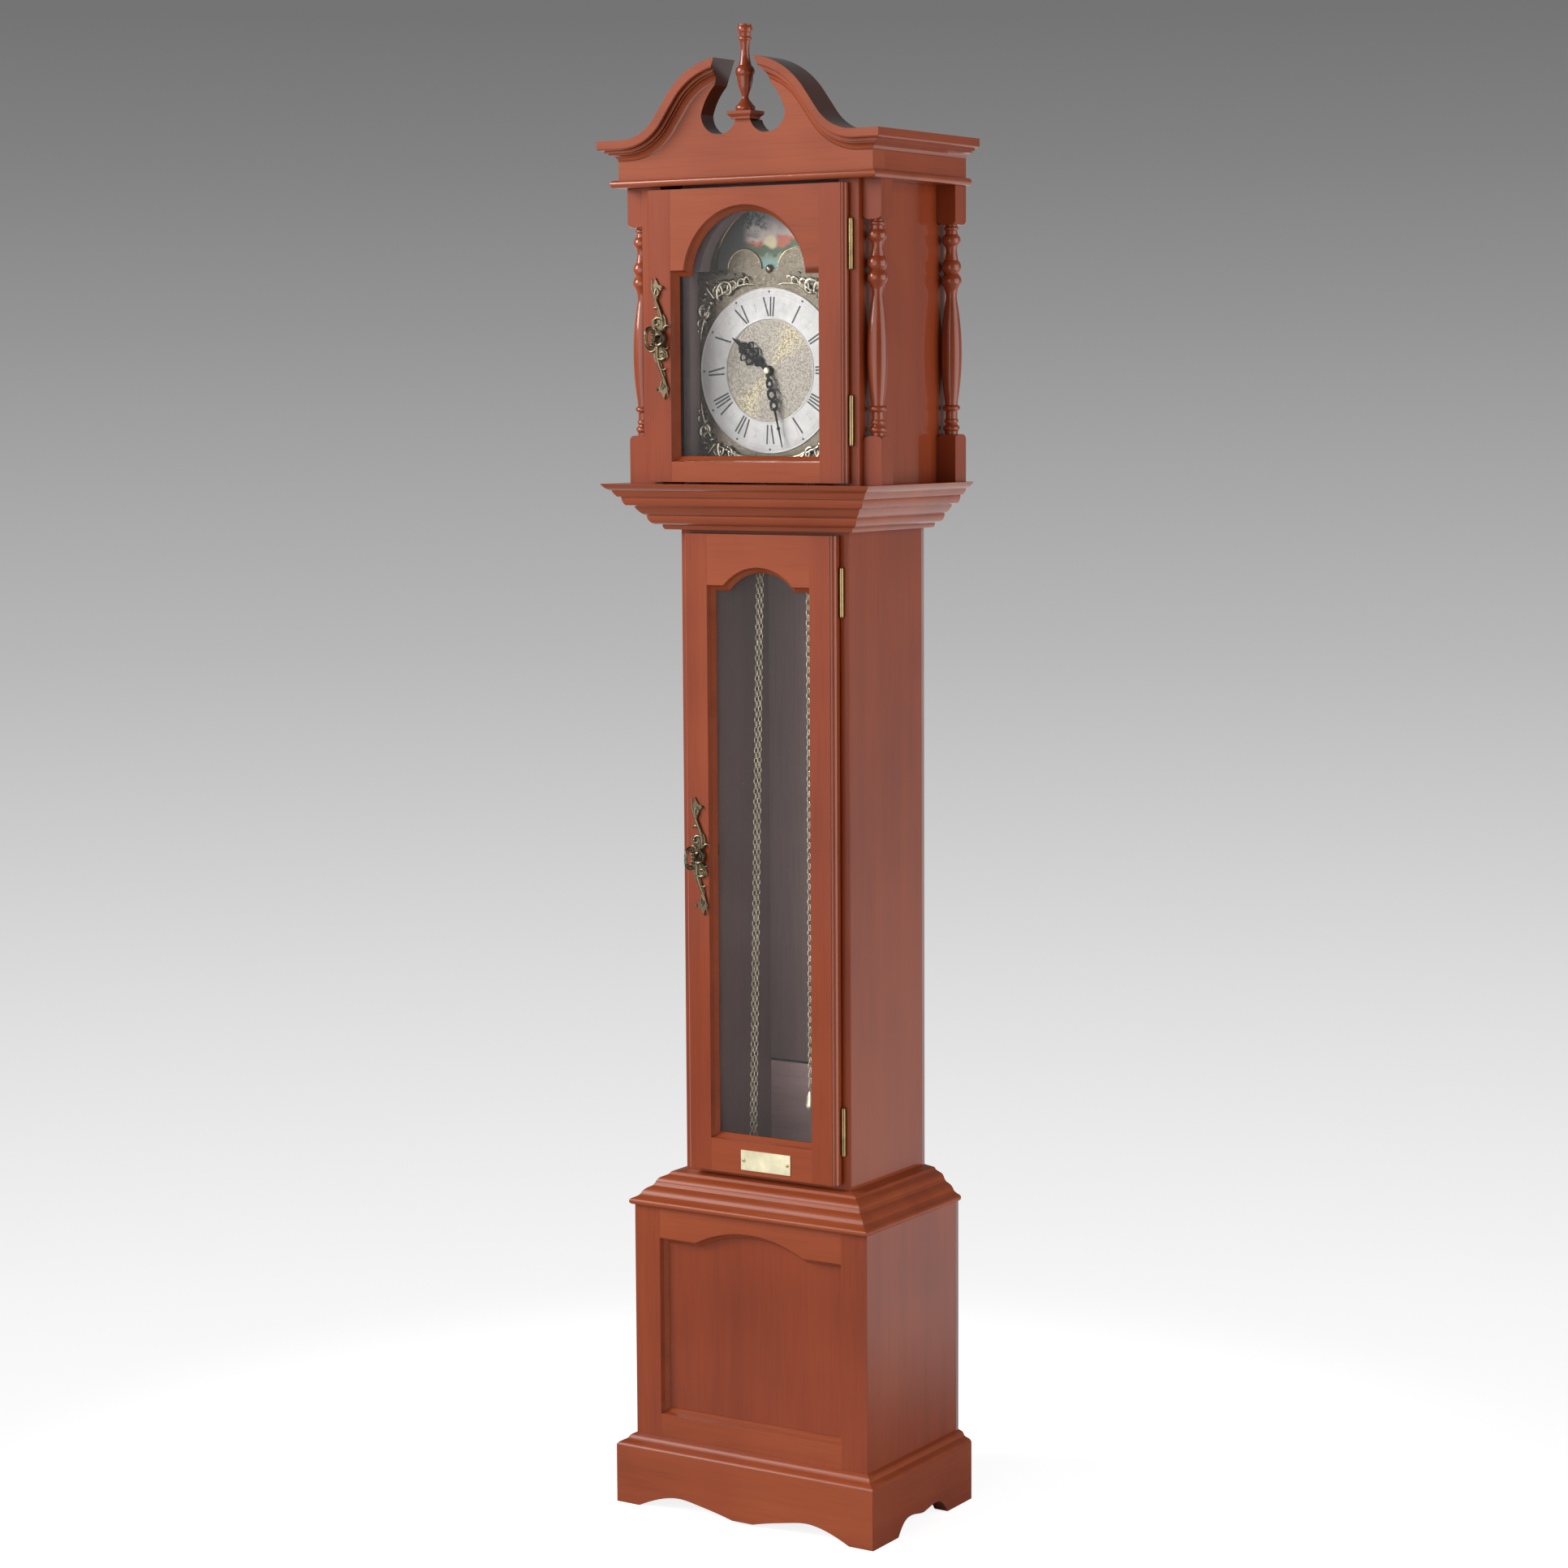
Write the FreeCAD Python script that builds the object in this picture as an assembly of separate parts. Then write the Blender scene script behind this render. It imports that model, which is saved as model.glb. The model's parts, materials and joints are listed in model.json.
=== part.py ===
"""Grandmother clock: mahogany case, scrolled hood, glazed doors, moon dial and chain-driven movement.

Millimetres, +Z up. The origin is on the floor, under the middle of the bounding box; the front faces -Y.
Depths are measured forward from the clock's back, heights upward from the floor.
"""
import FreeCAD, Part
import math
import os

V = FreeCAD.Vector
os.makedirs("parts", exist_ok=True)

# Overall stack of heights, from the floor up
plinth_height = 74.0
plinth_moulding_height = 13.4
base_height = 295.2
cap_height = 41.2
trunk_height = 803.8
waist_height = 56.7
column_height = 358.4
bead_height = 9.4
frieze_height = 46.8

# Width and depth of the trunk, and how far each storey stands out beyond the one that it follows
trunk_width = 242.0
trunk_depth = 177.7
base_side_out = 49.0
base_front_out = 45.3
hood_side_out = 33.7
hood_front_out = 30.4
columns_setback = 7.1
frieze_front_out = 11.3

# Stock thicknesses
side_board = 16.0
hood_board = 12.0
back_board = 6.0
shelf_board = 12.0
stile_board = 18.0
cut_overrun = 40.0

# Plinth
plinth_out = 19.0
scallop_rise = 16.5
scallop_side_rise = 18.0
scallop_centre_gap = 1.5
front_scallop_shares = [(0.82, 0.0), (0.72, 0.42), (0.62, 0.8), (0.49, 1.0), (0.36, 0.8), (0.2, 0.45),
                        (0.08, 0.12)]
side_scallop_shares = [(0.5, 0.0), (0.44, 0.42), (0.36, 0.85), (0.24, 1.0), (0.1, 0.86), (0.0, 0.76)]
plinth_moulding_shares = [(0.0, 1.0, 0), (0.28, 0.87, 0), (0.46, 0.47, 0.08), (0.72, 0.32, 0),
                          (1.0, 0.0, 0.12)]

# Base front: a frame round a sunk panel with a low arched head
base_stile_width = 37.0
base_foot_rail = 29.6
base_head_rail = 19.9
base_arch_shoulder = 54.0
base_arch_rise = 19.7
base_frame_lap = 44.0

# Moulding from base to trunk
cap_lap = 2.3
cap_shares = [(0.0, 1.0, 0), (0.28, 0.95, 0), (0.33, 0.87, 0), (0.48, 0.79, 0), (0.56, 0.64, 0.1),
              (0.61, 0.55, 0), (0.69, 0.5, 0), (0.83, 0.3, 0.1), (0.88, 0.25, 0), (0.96, 0.2, 0),
              (0.96, 0.0, 0.45)]

# Waist moulding under the hood; its front strip stands forward so that the trunk door sits under it
waist_out = 70.7
waist_overhang = 57.0
waist_front_packing = 2.4
waist_seat_out = 30.0
waist_shares = [(0.0, 0.0, 0), (0.175, 0.15, 0.1), (0.263, 0.282, 0.05), (0.325, 0.291, 0),
                (0.39, 0.467, 0.1), (0.526, 0.503, 0), (0.654, 0.661, 0.05), (0.72, 0.697, 0),
                (0.86, 0.89, 0.18), (0.96, 0.908, 0), (1.0, 1.0, 0.1)]

# Doors: lipped frames with moulded long edges and a rounded inner edge, glass from behind
sticking_width = 7.0
sticking_depth = 11.0
sticking_shares = [(0.0, 0.0), (0.3, 0.55), (1.0, 1.0)]
door_gap = 2.5
door_thickness = 17.5
door_lip_width = 18.0
door_edge_width = 5.5
door_edge_depth = 7.0
door_edge_quirk = 1.0
edge_round_share = 0.2
hood_door_reveal = 12.7
hood_door_lip = 9.4
hood_door_foot_gap = 2.2
hood_door_head_gap = 4.0
hood_stile_width = 36.0
hood_foot_rail = 24.5
hood_head_rail = 21.1
hood_arch_shoulder = 19.0
hood_arch_rise = 76.1
trunk_door_reveal = 12.2
trunk_door_lip = 13.3
trunk_door_foot_gap = 6.7
trunk_door_head_gap = 4.6
trunk_stile_width = 34.8
trunk_foot_rail = 41.0
trunk_head_rail = 40.0
trunk_arch_shoulder = 24.0
trunk_arch_rise = 22.6
glass_thickness = 3.0
rebate_lap = 6.0

# Butt hinges
hinge_length = 58.0
knuckle_radius = 2.75
hinge_pin_radius = 1.2
leaf_thickness = 1.1
leaf_width = 7.0
door_edge_to_axis = 3.0
running_clearance = 0.05
part_clearance = 0.3
hood_hinge_low_inset = 74.1
hood_hinge_high_inset = 71.3
trunk_hinge_low_inset = 65.9
trunk_hinge_high_inset = 68.3

# Turning pulls: a leaf-scroll plate, a bow to hold, a spindle and a tongue behind the stile
pull_reach = 34.0
pull_plate_height = 147.0
pull_plate_width = 24.0
pull_plate_thickness = 2.4
pull_boss_radius = 9.5
pull_boss_depth = 7.0
pull_bow_height = 29.0
pull_bow_depth = 20.0
pull_bow_wire = 4.2
spindle_radius = 3.0
tongue_width = 7.0
tongue_length = 12.0
tongue_thickness = 2.0
tongue_clearance = 0.6
hood_pull_inset = 21.5
hood_pull_rise = 173.5
trunk_pull_inset = 22.2
trunk_pull_rise = 394.0
keeper_width = 11.0
keeper_height = 60.0
scroll_shares = [(0.29, 0.068, 0), (0.375, 0.136, -0.15), (0.27, 0.19, -0.1), (-0.062, 0.286, 0.1),
                 (-0.083, 0.354, 0.1), (0.167, 0.408, 0.12), (0.104, 0.435, -0.4), (-0.125, 0.463, 0.15),
                 (-0.25, 0.5, 0.03), (-0.333, 0.449, 0.04), (-0.458, 0.429, -0.2), (-0.396, 0.388, -0.3),
                 (-0.27, 0.354, 0.12), (-0.29, 0.286, -0.08), (-0.083, 0.204, 0.05), (-0.125, 0.163, 0.25),
                 (-0.375, 0.163, -0.2), (-0.458, 0.129, -0.3), (-0.29, 0.095, -0.2), (-0.29, 0.068, 0)]

# Bare plate on the trunk door
name_plate_width = 72.0
name_plate_height = 25.0
name_plate_thickness = 1.2
name_plate_offset = 7.0
name_plate_rise = 18.5

# Hood columns
column_square = 26.0
column_foot_square = 58.0
column_head_square = 47.0
column_shoulder = 7.0
shoulder_round_share = 0.2
column_shares = [(0.014, 0.62, 0), (0.044, 0.6, 0.3), (0.05, 0.56, 0), (0.075, 0.56, 0.2), (0.11, 0.56, 0),
                 (0.14, 0.6, 0.42), (0.158, 0.62, 0), (0.638, 0.546, 0.042), (0.716, 0.873, -0.1),
                 (0.757, 0.8, 0.15), (0.768, 0.68, 0), (0.832, 0.65, 0.2), (0.858, 0.565, 0),
                 (0.9, 0.62, -0.08), (0.955, 0.6, 0.24), (0.972, 0.56, 0), (0.993, 0.56, 0.3)]

# Frieze, cornice and scrolled pediment
bead_out = 8.0
bead_round_share = 0.5
cornice_out = 19.0
cornice_drop = 24.0
cornice_shares = [(0.0, 1.0, 0), (1.0, 1.0, 0), (1.0, 0.62, 0), (0.87, 0.53, 0.2), (0.64, 0.53, 0),
                  (0.64, 0.38, 0), (0.45, 0.38, 0), (0.45, 0.3, 0), (0.0, 0.0, -0.2)]
pediment_board = 27.0
swan_rise = 91.4
swan_gap_half = 28.3
swan_lower_radius = 60.0
swan_upper_radius = 103.0
swan_slope = 54.0
swan_tip_slope = 8.0
pedestal_half = 10.5
pedestal_height = 19.2
pocket_radius = 24.0
pocket_centre_x = 35.5
pocket_centre_rise = 27.0
pocket_neck_x = 40.0
pocket_neck_drop = 31.0
pocket_swell_share = 0.125
pocket_sweep_share = 0.17

# Finial
finial_cap_width = 34.0
finial_cap_depth = 30.0
finial_cap_height = 9.5
finial_cap_front = 8.6
finial_cap_step = 3.5
finial_cap_shares = [(1.0, 0.0), (1.0, 0.25), (0.0, 0.6), (0.0, 1.0)]
finial_height = 101.7
finial_radius = 11.6
finial_shares = [(0.0, 0.92, 0), (0.07, 0.85, 0.25), (0.115, 0.55, 0), (0.168, 0.33, -0.1), (0.25, 0.58, 0),
                 (0.4, 0.84, 0.03), (0.51, 0.82, 0.17), (0.53, 0.66, 0), (0.69, 0.46, -0.03),
                 (0.81, 0.62, -0.05), (0.86, 0.58, 0.2), (0.9, 0.68, 0), (0.985, 0.68, 0.14)]

# Dial
dial_setback = 44.9
mask_reveal = 3.0
mask_wall = 10.0
mask_depth = 20.0
mask_arch_margin = 1.0
dial_arch_rise = 109.5
plate_lap = 12.0
plate_bottom_drop = 8.0
plate_thickness = 2.0
dial_centre_rise = 136.2
chapter_margin = 3.2
chapter_width = 37.8
chapter_thickness = 1.2
centre_thickness = 0.8
dial_hole_radius = 6.0
spandrel_height = 4.0
spandrel_gap = 2.0
spandrel_size = 70.0
spandrel_lobe_shares = [(0.78, 0.78, 0.22), (0.53, 0.86, 0.14), (0.33, 0.88, 0.12), (0.14, 0.92, 0.08)]
moon_centre_rise = 13.0
moon_lap = 7.0
moon_lug_radius = 5.5
moon_boss_radius = 3.6
moon_boss_height = 2.4
moon_aperture_margin = 11.0
moon_thickness = 1.0
moon_gap = 0.4
moon_stud_radius = 2.0
hump_radius = 24.0
hump_centre = 36.0

# Hands, set as they stand at about half past ten
minute_arbor_radius = 2.0
hour_pipe_radius = 4.5
hand_thickness = 1.0
hour_hand_stand = 4.0
minute_hand_stand = 6.5
hand_nut_radius = 4.0
hand_nut_height = 2.6
hour_hand_length = 66.0
minute_hand_length = 96.0
hour_hand_angle = 308.0
minute_hand_angle = 167.0
hour_shares = [(0.06, 0.0, 0), (0.035, 0.2, 0), (0.1, 0.27, -0.15), (0.055, 0.32, -0.15), (0.2, 0.42, -0.1),
               (0.12, 0.5, -0.2), (0.22, 0.58, -0.1), (0.1, 0.66, -0.15), (0.12, 0.7, -0.15),
               (0.03, 0.78, -0.08), (0.008, 0.99, 0)]
hour_hole_shares = [(0.0, 0.35, 0.03), (0.11, 0.435, 0.045), (0.0, 0.47, 0.035), (0.13, 0.575, 0.05),
                    (0.0, 0.58, 0.045), (0.0, 0.69, 0.03)]
minute_shares = [(0.045, 0.0, 0), (0.018, 0.1, 0), (0.05, 0.17, -0.2), (0.02, 0.23, -0.2),
                 (0.065, 0.31, -0.2), (0.025, 0.38, -0.2), (0.055, 0.45, -0.2), (0.016, 0.52, -0.2),
                 (0.01, 0.72, 0), (0.03, 0.745, 0.1), (0.01, 0.77, 0.1), (0.005, 0.99, 0)]
minute_hole_shares = [(0.0, 0.17, 0.025), (0.0, 0.31, 0.038), (0.0, 0.45, 0.03)]

# Movement behind the dial
movement_gap = 10.0
movement_plate = 2.0
movement_depth = 44.0
movement_edge = 13.1
movement_height = 128.0
pillar_radius = 4.0
pillar_inset = 6.0
dial_foot_radius = 2.5
seat_board_depth = 62.0
seat_slot_width = 14.0
chain_wheel_drop = 35.5
chain_wheel_rise = 45.0
chain_side_gap = 2.9
chain_radius = 2.4
wheel_gap = 0.7
wheel_lip = 1.9
wheel_flange = 1.6
wheel_arbor_radius = 3.0
wheel_pivot_radius = 1.5
chain_gap = 0.3
chain_lean_angle = 1.2
chain_long_drop = 945.0
chain_stop_drop = 75.0
chain_end_clearance = 12.0
chain_short_drop = 855.0
chain_end_length = 24.0
chain_end_radius = 5.5
chain_end_shares = [(0.0, 0.3, 0), (0.35, 1.0, 0.2), (1.0, 0.35, 0.05)]

# Back panel joint
back_joint_rise = 147.4

# Worked-out depths, measured forward from the back
hood_depth = trunk_depth + hood_front_out
depth = hood_depth + door_gap + hood_door_lip + pull_reach
back_y = depth / 2
inner_back_y = back_y - back_board
trunk_front_y = back_y - trunk_depth
base_front_y = trunk_front_y - base_front_out
hood_front_y = back_y - hood_depth
columns_front_y = hood_front_y + columns_setback
frieze_front_y = hood_front_y - frieze_front_out
dial_front_y = hood_front_y + dial_setback
hood_door_front_y = hood_front_y - door_gap - hood_door_lip
trunk_door_front_y = trunk_front_y - door_gap - trunk_door_lip

# Worked-out levels
base_bottom_z = plinth_height + plinth_moulding_height
base_top_z = base_bottom_z + base_height
cap_top_z = base_top_z + cap_height
waist_bottom_z = cap_top_z + trunk_height
hood_base_z = waist_bottom_z + waist_height
column_top_z = hood_base_z + column_height
bead_top_z = column_top_z + bead_height
cornice_top_z = bead_top_z + frieze_height
base_frame_bottom = plinth_height - base_frame_lap
base_window_bottom = base_bottom_z + base_foot_rail
base_arch_top = base_top_z - base_head_rail
base_window_shoulder = base_arch_top - base_arch_rise
trunk_door_bottom = cap_top_z + trunk_door_foot_gap
trunk_door_top = waist_bottom_z - trunk_door_head_gap
trunk_window_bottom = trunk_door_bottom + trunk_foot_rail
trunk_arch_top = trunk_door_top - trunk_head_rail
trunk_window_shoulder = trunk_arch_top - trunk_arch_rise
trunk_pull_height = trunk_door_bottom + trunk_pull_rise
hood_door_bottom = hood_base_z + hood_door_foot_gap
hood_door_top = column_top_z - hood_door_head_gap
hood_window_bottom = hood_door_bottom + hood_foot_rail
hood_arch_top = hood_door_top - hood_head_rail
hood_window_shoulder = hood_arch_top - hood_arch_rise
hood_pull_height = hood_door_bottom + hood_pull_rise
dial_centre_z = hood_base_z + dial_centre_rise
dial_arch_centre = dial_centre_z + dial_arch_rise
moon_centre_z = dial_arch_centre + moon_centre_rise
chain_wheel_z = dial_centre_z - chain_wheel_drop
seat_board_top = chain_wheel_z - chain_wheel_rise
back_joint_z = base_top_z + back_joint_rise

# Worked-out half widths and radii
trunk_half = trunk_width / 2
base_half = trunk_half + base_side_out
hood_half = trunk_half + hood_side_out
columns_half = hood_half + part_clearance + column_square
frieze_half = columns_half
cap_out = base_side_out + cap_lap
trunk_inner = trunk_half - side_board
base_window_half = base_half - base_stile_width
base_arch_half = base_window_half - base_arch_shoulder
trunk_door_half = trunk_half - trunk_door_reveal
trunk_window_half = trunk_door_half - trunk_stile_width
trunk_arch_half = trunk_window_half - trunk_arch_shoulder
hood_door_half = hood_half - hood_door_reveal
hood_window_half = hood_door_half - hood_stile_width
hood_arch_half = hood_window_half - hood_arch_shoulder
mask_half = hood_window_half - mask_reveal
mask_arch_radius = hood_arch_half + mask_arch_margin
chapter_radius = mask_half - chapter_margin
chapter_inner_radius = chapter_radius - chapter_width
moon_aperture_radius = mask_arch_radius - moon_aperture_margin
moon_radius = moon_aperture_radius + moon_lap
chain_middle_drop = chain_long_drop - chain_end_clearance

# The outermost strand hangs one and a half wheel spacings from the middle
train_spacing = (trunk_inner - chain_side_gap - chain_radius + wheel_lip + wheel_gap) / 1.5
wheel_flange_radius = train_spacing / 2 - wheel_gap
chain_pitch_radius = wheel_flange_radius - wheel_lip
movement_half = train_spacing + wheel_flange_radius + movement_edge


def save(name, *shapes):
    """Write the solids of one node."""
    shape = shapes[0] if len(shapes) == 1 else Part.makeCompound(list(shapes))
    shape.exportStep("parts/" + name + ".step")


def box(x0, x1, y0, y1, z0, z1):
    """A box from its lowest to its highest corner."""
    return Part.makeBox(x1 - x0, y1 - y0, z1 - z0, V(x0, y0, z0))


def mirrored(shape):
    """The same piece on the clock's other side."""
    return shape.mirror(V(0, 0, 0), V(1, 0, 0))


def rod(radius, start, end):
    """A round bar between two points."""
    run = end - start
    return Part.makeCylinder(radius, run.Length, start, run)


def edge(start, end, bulge):
    """A straight edge, or an arc that rises by a share of its chord, to the left of its direction."""
    if bulge == 0:
        return Part.LineSegment(start, end).toShape()
    chord = end - start
    side = V(-chord.z, 0, chord.x)
    return Part.Arc(start, (start + end) * 0.5 + side * bulge, end).toShape()


def outline(points, closed=True):
    """A wire in the XZ plane through (x, z, bulge) points; a bulge belongs to the edge ending there."""
    places = [V(x, 0, z) for x, z, bulge in points]
    edges = [edge(a, b, point[2]) for a, b, point in zip(places, places[1:], points[1:])]
    if closed:
        edges.append(edge(places[-1], places[0], 0))
    return Part.Wire(edges)


def board(wire, y0, y1):
    """A flat board of the given outline, from y0 back to y1."""
    face = Part.Face(wire)
    face.translate(V(0, y0, 0))
    return face.extrude(V(0, y1 - y0, 0))


def scaled(shares, width, height):
    """Outline points from shares of a width and a height."""
    return [(u * width, v * height, bulge) for u, v, bulge in shares]


# Mouldings run round three sides and meet at mitres

def mitre_front(half, front, reach):
    """Plan of the front strip: everything in front of the two mitre lines."""
    inner = half - reach
    outer = half + reach
    near, far = front - reach, front + reach
    corners = [V(-outer, near, 0), V(outer, near, 0), V(inner, far, 0), V(-inner, far, 0)]
    plan = Part.makePolygon(corners + corners[:1])
    return Part.Face(plan).extrude(V(0, 0, cornice_top_z + swan_rise))


def moulding(profile, half, front, reach):
    """Front strip and two returns of a moulding; the profile holds (outset, height, bulge) points."""
    section = Part.Face(outline(profile))
    along_x = section.copy()
    along_x.rotate(V(0, 0, 0), V(0, 0, 1), -90)
    along_x.translate(V(-half - reach, front, 0))
    front_strip = along_x.extrude(V(2 * (half + reach), 0, 0))
    wedge = mitre_front(half, front, reach)
    along_y = section.copy()
    along_y.translate(V(half, back_y, 0))
    right = along_y.extrude(V(0, front - reach - back_y, 0)).cut(wedge)
    return front_strip.common(wedge), mirrored(right), right


def raised(points, base):
    """Move outline points up to a level."""
    return [(x, z + base, bulge) for x, z, bulge in points]


# Plinth and base

def scalloped(shares, half, rise, thickness_start, thickness_end):
    """A plinth board whose lower edge rises in two shallow hollows, with feet at the ends."""
    edge_points = [V(half * u, 0, scallop_centre_gap + rise * v) for u, v in shares]
    edge_points[0].z = 0
    curve = Part.BSplineCurve()
    curve.interpolate(edge_points)
    last = edge_points[-1]
    top = [V(half, 0, 0), V(half, 0, plinth_height), V(0, 0, plinth_height), V(0, 0, last.z), last]
    if top[-1].isEqual(top[-2], running_clearance):
        top.pop()
    lines = [Part.LineSegment(a, b).toShape() for a, b in zip(top, top[1:])]
    foot = Part.LineSegment(edge_points[0], top[0]).toShape()
    half_board = board(Part.Wire([foot] + lines + [curve.toShape()]), thickness_start, thickness_end)
    return half_board.fuse(mirrored(half_board)).removeSplitter()


def build_plinth():
    front_y = base_front_y - plinth_out
    half = base_half + plinth_out
    front_board = scalloped(front_scallop_shares, half, scallop_rise, front_y, base_front_y)
    wedge = mitre_front(base_half, base_front_y, plinth_out + cut_overrun)
    save("plinth_front", front_board.common(wedge))
    length_half = (back_y - front_y) / 2
    side = scalloped(side_scallop_shares, length_half, scallop_side_rise, 0, plinth_out)
    side.rotate(V(0, 0, 0), V(0, 0, 1), -90)
    side.translate(V(base_half, back_y - length_half, 0))
    side = side.cut(wedge)
    save("plinth_sides", mirrored(side), side)
    profile = raised(scaled(plinth_moulding_shares, plinth_out, plinth_moulding_height), plinth_height)
    profile = profile + [(0, plinth_height, 0)]
    save("plinth_moulding", *moulding(profile, base_half, base_front_y, plinth_out + cut_overrun))


def window(half, bottom, shoulder, arch_half, arch_top, inset):
    """Outline of a window with a round head on square shoulders, drawn in by an inset."""
    rise = arch_top - shoulder
    radius = (arch_half ** 2 + rise ** 2) / (2 * rise)
    centre = arch_top - radius
    inner_radius = radius - inset
    level = shoulder - inset
    reach = math.sqrt(inner_radius ** 2 - (level - centre) ** 2)
    left = [V(-half + inset, 0, bottom + inset), V(-half + inset, 0, level), V(-reach, 0, level)]
    right = [V(-point.x, 0, point.z) for point in reversed(left)]
    crown = Part.Arc(left[-1], V(0, 0, centre + inner_radius), right[0]).toShape()
    path = [Part.LineSegment(a, b).toShape() for a, b in zip(left, left[1:])]
    path.append(crown)
    path += [Part.LineSegment(a, b).toShape() for a, b in zip(right, right[1:])]
    path.append(Part.LineSegment(right[-1], left[0]).toShape())
    return Part.Wire(path)


def window_cut(sizes, front_y, thickness):
    """The hole through a frame: a flare with a rounded edge, then straight, with a rebate from behind."""
    half, bottom, shoulder, arch_half, arch_top = sizes
    sections = []
    for width_share, depth_share in sticking_shares:
        wire = window(half, bottom, shoulder, arch_half, arch_top, sticking_width * width_share)
        wire.translate(V(0, front_y + sticking_depth * depth_share, 0))
        sections.append(wire)
    flare = Part.makeLoft(sections, True, True)
    seat_y = front_y + sticking_depth
    through_y = front_y + thickness + cut_overrun
    straight = board(window(*sizes, sticking_width), seat_y, through_y)
    rebate = rebate_box(sizes, seat_y, through_y)
    mouth = board(window(*sizes, 0), front_y - cut_overrun, front_y)
    return flare.fuse([straight, rebate, mouth])


def rebate_box(sizes, y0, y1, clearance=0):
    """The square-cornered seat for a pane or panel behind a window."""
    half, bottom, shoulder, arch_half, arch_top = sizes
    lap = rebate_lap - sticking_width - clearance
    return box(-half - lap, half + lap, y0, y1, bottom - lap, arch_top + lap)


def split_frame(frame, half, bottom, top):
    """Cut a frame into its two stiles and two rails."""
    bounds = frame.BoundBox
    y0, y1 = bounds.YMin, bounds.YMax
    middle = (bottom + top) / 2
    left = frame.common(box(bounds.XMin, -half, y0, y1, bounds.ZMin, bounds.ZMax))
    right = frame.common(box(half, bounds.XMax, y0, y1, bounds.ZMin, bounds.ZMax))
    foot = frame.common(box(-half, half, y0, y1, bounds.ZMin, middle))
    head = frame.common(box(-half, half, y0, y1, middle, bounds.ZMax))
    return left, right, foot, head


def build_base():
    sizes = (base_window_half, base_window_bottom, base_window_shoulder, base_arch_half, base_arch_top)
    panel_back = base_front_y + stile_board
    frame = box(-base_half, base_half, base_front_y, panel_back, base_frame_bottom, base_top_z)
    frame = frame.cut(window_cut(sizes, base_front_y, stile_board))
    save("base_front_frame", *split_frame(frame, base_window_half, base_window_bottom, base_arch_top))
    save("base_panel", rebate_box(sizes, base_front_y + sticking_depth, panel_back))
    side = box(base_half - side_board, base_half, panel_back, inner_back_y, base_frame_bottom, base_top_z)
    save("base_sides", mirrored(side), side)
    inner = base_half - side_board
    floor_top = base_bottom_z + shelf_board
    save("base_floor", box(-inner, inner, panel_back, inner_back_y, base_bottom_z, floor_top))
    shelf = box(-inner, inner, panel_back, inner_back_y, base_top_z - shelf_board, base_top_z)
    well = box(-trunk_inner, trunk_inner, trunk_front_y + stile_board, inner_back_y - side_board,
               base_top_z - shelf_board, base_top_z)
    save("base_top", shelf.cut(well))
    save("base_back", box(-base_half, base_half, inner_back_y, back_y, base_frame_bottom, base_top_z))
    profile = raised(scaled(cap_shares, cap_out, cap_height), base_top_z) + [(0, base_top_z, 0)]
    save("base_cap_moulding", *moulding(profile, trunk_half, trunk_front_y, cap_out + cut_overrun))


# Trunk

def build_trunk():
    seat_z = hood_base_z - hood_board
    rail_back = trunk_front_y + stile_board
    side = box(trunk_inner, trunk_half, trunk_front_y, inner_back_y, base_top_z, seat_z)
    save("trunk_sides", mirrored(side), side)
    foot_top = trunk_door_bottom + shelf_board
    save("trunk_foot_rail", box(-trunk_inner, trunk_inner, trunk_front_y, rail_back, base_top_z, foot_top))
    packing_y = trunk_front_y - waist_front_packing
    rail_bottom = trunk_door_top - shelf_board
    rail = box(-trunk_inner, trunk_inner, trunk_front_y, rail_back, rail_bottom, seat_z)
    packing = box(-trunk_half, trunk_half, packing_y, trunk_front_y, waist_bottom_z, seat_z)
    save("trunk_head_rail", rail.fuse(packing))
    keeper_low = trunk_pull_height - keeper_height / 2
    save("trunk_keeper", box(-trunk_inner, keeper_width - trunk_inner, trunk_front_y, rail_back,
                             keeper_low, keeper_low + keeper_height))
    save("trunk_back", box(-trunk_half, trunk_half, inner_back_y, back_y, base_top_z, back_joint_z),
         box(-trunk_half, trunk_half, inner_back_y, back_y, back_joint_z, hood_base_z))
    profile = [(waist_out - waist_overhang * u, hood_base_z - waist_height * v, bulge)
               for u, v, bulge in waist_shares]
    profile += [(0, waist_bottom_z, 0), (0, seat_z, 0)]
    profile += [(waist_seat_out, seat_z, 0), (waist_seat_out, hood_base_z, 0)]
    save("waist_moulding", *moulding(profile, trunk_half, packing_y, waist_out + cut_overrun))


# Hood

def build_hood():
    floor_half = trunk_half + waist_seat_out
    floor_front = trunk_front_y - waist_front_packing - waist_seat_out
    seat_z = hood_base_z - hood_board
    floor_board = box(-floor_half, floor_half, floor_front, inner_back_y, seat_z, hood_base_z)
    well_front, well_back = trunk_front_y + stile_board, inner_back_y - side_board
    well = box(-trunk_inner, trunk_inner, well_front, well_back, seat_z, hood_base_z)
    save("hood_floor", floor_board.cut(well))
    stile_back = hood_front_y + stile_board
    side = box(hood_half - hood_board, hood_half, stile_back, inner_back_y, hood_base_z, column_top_z)
    save("hood_sides", mirrored(side), side)
    stile_inner = hood_door_half - hood_pull_inset + spindle_radius + tongue_width / 2
    stile = box(stile_inner, hood_half, hood_front_y, stile_back, hood_base_z, column_top_z)
    save("hood_stiles", mirrored(stile), stile)
    save("hood_back", box(-hood_half, hood_half, inner_back_y, back_y, hood_base_z, column_top_z))
    frieze_inner = frieze_half - side_board
    top_z = column_top_z + hood_board
    top = box(-frieze_inner, frieze_inner, frieze_front_y + pediment_board, back_y, column_top_z, top_z)
    save("hood_top", top)
    save("turned_columns", *[column(sx, y) for y in column_rows() for sx in (-1, 1)])


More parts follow.
